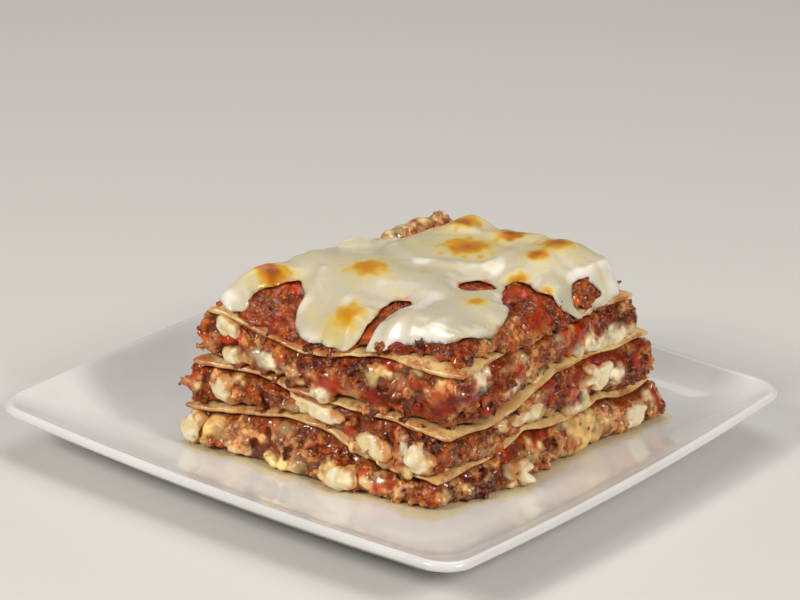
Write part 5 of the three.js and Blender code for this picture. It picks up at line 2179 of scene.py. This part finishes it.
    @staticmethod
    def tidy(blanket: Piece) -> None:
        """Merges what the edge has drawn together and points the faces outwards."""
        work = bmesh.new()
        work.from_mesh(blanket.data)
        bmesh.ops.remove_doubles(work, verts=work.verts, dist=0.02 * MM)
        bmesh.ops.recalc_face_normals(work, faces=work.faces)
        work.to_mesh(blanket.data)
        work.free()


# ---------------------------------------------------------------- ricotta


@dataclass(frozen=True)
class Dollop:
    """A lump of ricotta in a cut face: its filling, face, place, height and half sizes."""

    layer: int
    face: Face
    at: float
    height: float
    half: tuple[float, float, float]
    sauced: float = 0.0


DOLLOPS = (
    Dollop(0, Face.FRONT, -0.95, 6, (4.8, 4.6, 6.2)),
    Dollop(0, Face.FRONT, 0.33, 4.6, (5.8, 5.6, 4.2)),
    Dollop(1, Face.FRONT, -0.82, 21.9, (6, 4, 4.2), 0.28),
    Dollop(1, Face.FRONT, -0.05, 23.2, (11, 3.6, 3.6)),
    Dollop(1, Face.FRONT, 0.46, 16, (5.6, 3.6, 4), 0.12),
    Dollop(1, Face.FRONT, 0.82, 15.8, (6.2, 6, 5.8)),
    Dollop(2, Face.FRONT, -0.84, 42.6, (5.6, 4, 3.4)),
    Dollop(2, Face.FRONT, -0.76, 34.8, (5.2, 4, 3.2), 0.12),
    Dollop(1, Face.RIGHT, 0.5, 24.3, (11.5, 4.4, 4.2)),
    Dollop(0, Face.RIGHT, 0.72, 6, (7, 5, 4.2)),
    Dollop(0, Face.RIGHT, -0.4, 4, (4.4, 9.4, 3.8)),
    Dollop(1, Face.RIGHT, -0.19, 22, (9, 3.8, 3.4)),
    Dollop(2, Face.BACK, 0.3, 36, (7, 4.2, 4.4)),
    Dollop(1, Face.LEFT, 0.1, 20.5, (6.2, 4.2, 4)),
)


@dataclass
class RicottaLump:
    """One soft curdy lump that stands in its node's place."""

    number: int
    dollop: Dollop
    spread_share: float = 0.75
    stand: float = 1.0
    sunk_share: float = 0.55
    flatness: float = 2.5
    swell: float = 0.24
    knobs: float = 0.08
    curds: float = 0.07
    rim_stain: float = 0.8
    detail: int = 5

    def ripple(self, size: float, seed: Seed, points: Points) -> Array:
        """Unevenness that is this lump's own."""
        return Ripple(size, seed + self.number).at(points)

    def placed(self, points: Points) -> Points:
        """The points of a lump at the origin, turned to the face and set into it."""
        lump = self.dollop
        across, along = lump.face.spot(lump.at)
        out = SLICE.outward(lump.face, lump.at, 0.0)
        spread = float(foot_spread(across, along)) * self.spread_share if lump.layer == 0 else 0.0
        away = spread + self.stand - lump.half[1] * self.sunk_share
        centre = SLICE.point(across, along, lump.height) + out * away
        turn = Matrix.Rotation(math.atan2(out[1], out[0]) - math.pi / 2, 3, "Z")
        return points @ np.array(turn).T + centre

    def build(self, finish: Material) -> Piece:
        """Builds the lump and dresses it."""
        ball, faces = ball_points(self.detail)
        rim = np.hypot(ball[:, 0], ball[:, 2])
        blunt = np.sign(ball[:, 1]) * np.clip(1 - rim ** self.flatness, 0, None) ** (1 / self.flatness)
        points = np.column_stack([ball[:, 0], blunt, ball[:, 2]]) * self.dollop.half
        uneven = self.swell * self.ripple(9, Seed.LUMP_SHAPE, points)
        uneven = uneven + self.knobs * self.ripple(4.2, Seed.LUMP_KNOBS, points)
        points = points * (1 + uneven)[:, None]
        points = points + ball * (self.curds * self.ripple(1.8, Seed.LUMP_CURDS, points))[:, None]
        points = self.pressed(self.placed(points))
        made = Mesh(points, faces)
        patchy = 0.22 * self.ripple(4, Seed.LUMP_STAIN, points)
        caught = self.dollop.sauced + self.rim_stain * ease(rim, 0.6, 0.4)
        made.values["stain"] = np.clip(caught + patchy, 0, 1)
        piece = made.finish(f"ricotta_lump_{self.number:02d}")
        wear(piece, finish, "ricotta", f"ricotta_{self.number:02d}")
        return piece

    def pressed(self, points: Points) -> Points:
        """The points held between the sheets that press on the lump."""
        filling = Filling(self.dollop.layer)
        height = points[:, 2] - SLICE.well_top
        across, along = SLICE.coordinates(points[:, :2], height)
        across, along = np.clip(across, -1, 1), np.clip(along, -1, 1)
        held = np.clip(height, filling.bottom(across, along), filling.top(across, along))
        return np.column_stack([points[:, :2], held + SLICE.well_top])


# ---------------------------------------------------------------- what runs out and what is strewn


@dataclass
class OilRing:
    """The thin film round the foot, widest in pools at the front and right."""

    width: float = 2.6
    least: float = 0.6
    depth: float = 0.35
    inner: float = 3.0
    steps: int = 360
    lean: float = 0.35
    section: tuple[float, ...] = (0.0, 0.25, 0.5, 0.72, 0.88, 0.97, 1.0)
    fullness: float = 2.4
    floor_gap: float = 0.01
    edge_gap: float = 0.03
    pools: tuple[Spread, ...] = (
        Spread(1, -1, 5, 0.3), Spread(0.4, -1, 2.5, 0.4), Spread(1, -0.2, 3, 0.4), Spread(1, 0.6, 2, 0.3),
    )

    def rim(self) -> tuple[Array, Array]:
        """Across and along of places round the slice's foot."""
        walk = np.linspace(0, 8, self.steps, endpoint=False)
        side, at = np.floor(walk / 2).astype(int), walk % 2 - 1
        one = np.ones_like(at)
        return np.choose(side, [at, one, -at, -one]), np.choose(side, [-one, at, one, -at])

    def outward(self, rim: Points) -> Points:
        """The way that the film runs from each place of the rim."""
        tangent = np.roll(rim, -3, axis=0) - np.roll(rim, 3, axis=0)
        normal = unit(np.column_stack([tangent[:, 1], -tangent[:, 0], np.zeros(len(rim))]))
        return unit(normal + self.lean * unit(rim - SLICE.point(0, 0, 0)))

    def build(self, finish: Material) -> Piece:
        """Builds the film and dresses it."""
        across, along = self.rim()
        rim = SLICE.point(across, along, 0)
        out = self.outward(rim)
        uneven = 1 + 0.45 * Ripple(15, Seed.OIL_REACH).at(rim[:, :2])
        uneven = uneven + 0.2 * Ripple(6, Seed.OIL_EDGE).at(rim[:, :2])
        reach = foot_spread(across, along) + np.clip(self.width * uneven, self.least, None)
        reach = reach + spread_at(self.pools, across, along)
        stations = np.array(self.section)
        points, depths = [], []
        for station, level in zip(stations, np.sqrt(1 - stations ** self.fullness) * self.depth):
            away = -self.inner + (reach + self.inner) * station
            points.append(rim + out * away[:, None] + [0, 0, level + self.edge_gap])
            depths.append(np.full(len(rim), level / self.depth))
        points.append(rim - out * self.inner + [0, 0, self.floor_gap])
        depths.append(np.zeros(len(rim)))
        made = Mesh(np.concatenate(points), ring_faces(len(points), len(rim), closed=True))
        made.values["depth"] = np.concatenate(depths)
        film = made.finish("oil_film")
        wear(film, finish, "meat_sauce")
        return film


@dataclass
class HerbFlecks:
    """Specks of chopped herb in the cut faces."""

    count: int = 46
    sizes: tuple[float, float] = (0.35, 0.85)
    shape: tuple[float, float, float] = (1.0, 0.65, 0.22)
    stand: float = 1.5
    foot_height: float = 15.0
    places: tuple[tuple[Face, float, float], ...] = (
        (Face.FRONT, -0.06, 9.0), (Face.FRONT, -0.82, 21.0), (Face.FRONT, -0.12, 7.2), (Face.RIGHT, 0.3, 8.0),
    )

    @staticmethod
    def tree() -> GeometryTree:
        """The tree that lays a small bent leaf on each point."""
        tree = GeometryTree("herb_flecks")
        seed = tree.asked("Seed", "Int")
        finish = tree.asked("Finish", "Material")
        laid = tree.step("GeometryNodeInstanceOnPoints", {}, {
            "Points": tree.source.outputs["Geometry"], "Instance": tree.lump(2, 1.7, 1.0, 1.0),
            "Rotation": tree.tumbled(seed), "Scale": tree.named("size", "FLOAT_VECTOR"),
        })
        tree.end(laid, finish)
        return tree

    def build(self, finish: Material) -> Piece:
        """Builds the flecks and dresses them."""
        dice = np.random.default_rng(Seed.HERB)
        spots = [self.place(*place) for place in self.places]
        while len(spots) < self.count:
            face = list(Face)[dice.integers(len(Face))]
            layer = Filling(int(dice.integers(len(SHEETS))))
            at = dice.uniform(-0.95, 0.95)
            across, along = face.spot(at)
            low, high = float(layer.bottom(across, along)), float(layer.top(across, along))
            spots.append(self.place(face, at, low + (high - low) * dice.uniform(0.2, 0.8)))
        sizes = dice.uniform(*self.sizes, (len(spots), 1)) * self.shape
        cloud = Mesh(np.array(spots), [], None, {"size": sizes}).finish("herb_points", scale=1.0)
        piece = self.tree().run("herb_flecks", cloud, {"Seed": int(Seed.HERB_TURN), "Finish": finish})
        wear(piece, finish, "meat_filling")
        return piece

    def place(self, face: Face, at: float, height: float) -> Points:
        """A point just outside the crumbs at a place on a face."""
        across, along = face.spot(at)
        low = foot_spread(across, along) * max(0.0, 1 - height / self.foot_height) ** 1.5
        return SLICE.off_face(face, at, height, low + self.stand)


# ---------------------------------------------------------------- studio


@dataclass(frozen=True)
class Lamp:
    """A square soft light: its place and side in metres, its power in watts and its colour."""

    name: str
    place: tuple[float, float, float]
    side: float
    power: float
    colour: Colour


@dataclass
class Studio:
    """The pale floor, the soft lights and the camera."""

    floor_half: float = 3.0
    camera_place: tuple[float, float, float] = (0.6456, -0.8553, 0.4758)
    lens: float = 154.35
    azimuth: float = 0.6464
    elevation: float = 0.3760
    roll: float = 0.0349
    aim: tuple[float, float, float] = (0.01, 0.0, 0.035)
    lamps: tuple[Lamp, ...] = (
        Lamp("key", (-0.3, -1.1, 0.8), 0.32, 9.8, paint(255, 247, 234)),
        Lamp("top", (-0.15, 0.35, 1.25), 0.9, 5.0, paint(255, 254, 250)),
        Lamp("side", (1.12, -0.1, 0.8), 0.3, 8.2, paint(255, 248, 236)),
    )
    backdrop: Colour = paint(246, 240, 230)
    backdrop_strength: float = 0.2

    def floor(self) -> None:
        """The floor, which isn't part of the object."""
        corners = [(-1, -1, 0), (1, -1, 0), (1, 1, 0), (-1, 1, 0)]
        floor = Mesh(np.array(corners) * self.floor_half, [(0, 1, 2, 3)]).finish("floor", scale=1.0)
        floor.data.materials.append(StudioFloor().make())
        floor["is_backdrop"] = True

    def camera(self) -> None:
        """The camera, from its direction and roll."""
        towards = Vector((
            math.sin(self.azimuth) * math.cos(self.elevation),
            -math.cos(self.azimuth) * math.cos(self.elevation),
            math.sin(self.elevation),
        ))
        right = (-towards).cross(Vector((0, 0, 1))).normalized()
        up = right.cross(-towards)
        leaned_right = right * math.cos(self.roll) + up * math.sin(self.roll)
        leaned_up = up * math.cos(self.roll) - right * math.sin(self.roll)
        data = bpy.data.cameras.new("camera")
        data.lens = self.lens
        data.sensor_width = 36.0
        data.clip_start, data.clip_end = 0.05, 20
        camera = link("camera", data)
        turn = Matrix((leaned_right, leaned_up, towards)).transposed()
        camera.matrix_world = Matrix.Translation(self.camera_place) @ turn.to_4x4()
        bpy.context.scene.camera = camera

    def light(self, lamp: Lamp) -> None:
        """One light, which faces the slice."""
        data = bpy.data.lights.new(lamp.name, "AREA")
        data.size = lamp.side
        data.energy = lamp.power
        data.color = lamp.colour[:3]
        light = link(lamp.name, data)
        light.location = lamp.place
        way = Vector(self.aim) - Vector(lamp.place)
        light.rotation_euler = way.to_track_quat("-Z", "Y").to_euler()

    def build(self) -> None:
        """Sets up the floor, camera, lights and background."""
        self.floor()
        self.camera()
        for lamp in self.lamps:
            self.light(lamp)
        world = bpy.data.worlds.new("studio")
        world.use_nodes = True
        backdrop = world.node_tree.nodes["Background"]
        backdrop.inputs["Color"].default_value = self.backdrop
        backdrop.inputs["Strength"].default_value = self.backdrop_strength
        bpy.context.scene.world = world
        bpy.context.scene.view_settings.view_transform = "Standard"


# ---------------------------------------------------------------- the whole


def write_sizes() -> None:
    boxes = {"cad": CAD_BOX, "visual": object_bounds()}
    {name: [list(corner) for corner in box] for name, box in boxes.items()}


def main() -> None:
    """Builds every piece in order and sets up the studio."""
    logging.basicConfig(level=logging.INFO, format="%(message)s")
    Studio().build()
    Plate().build(Porcelain().make())
    pasta = BoiledPasta().make()
    for number, lie in enumerate(SHEETS, start=1):
        PastaSheet(number, lie).build(pasta)
    crust = Crust(crumb_crust_tree(), WetCrumbs().make())
    for index in range(len(SHEETS)):
        Filling(index).build(crust)
    outline = cheese_outline()
    TopSauce().build(crust, outline)
    CheeseBlanket(outline).build(MeltedCheese().make())
    curds = RicottaCurds().make()
    for number, dollop in enumerate(DOLLOPS, start=1):
        RicottaLump(number, dollop).build(curds)
    OilRing().build(OilFilm().make())
    HerbFlecks().build(ChoppedHerb().make())
    write_sizes()


if __name__ == "__main__":
    main()
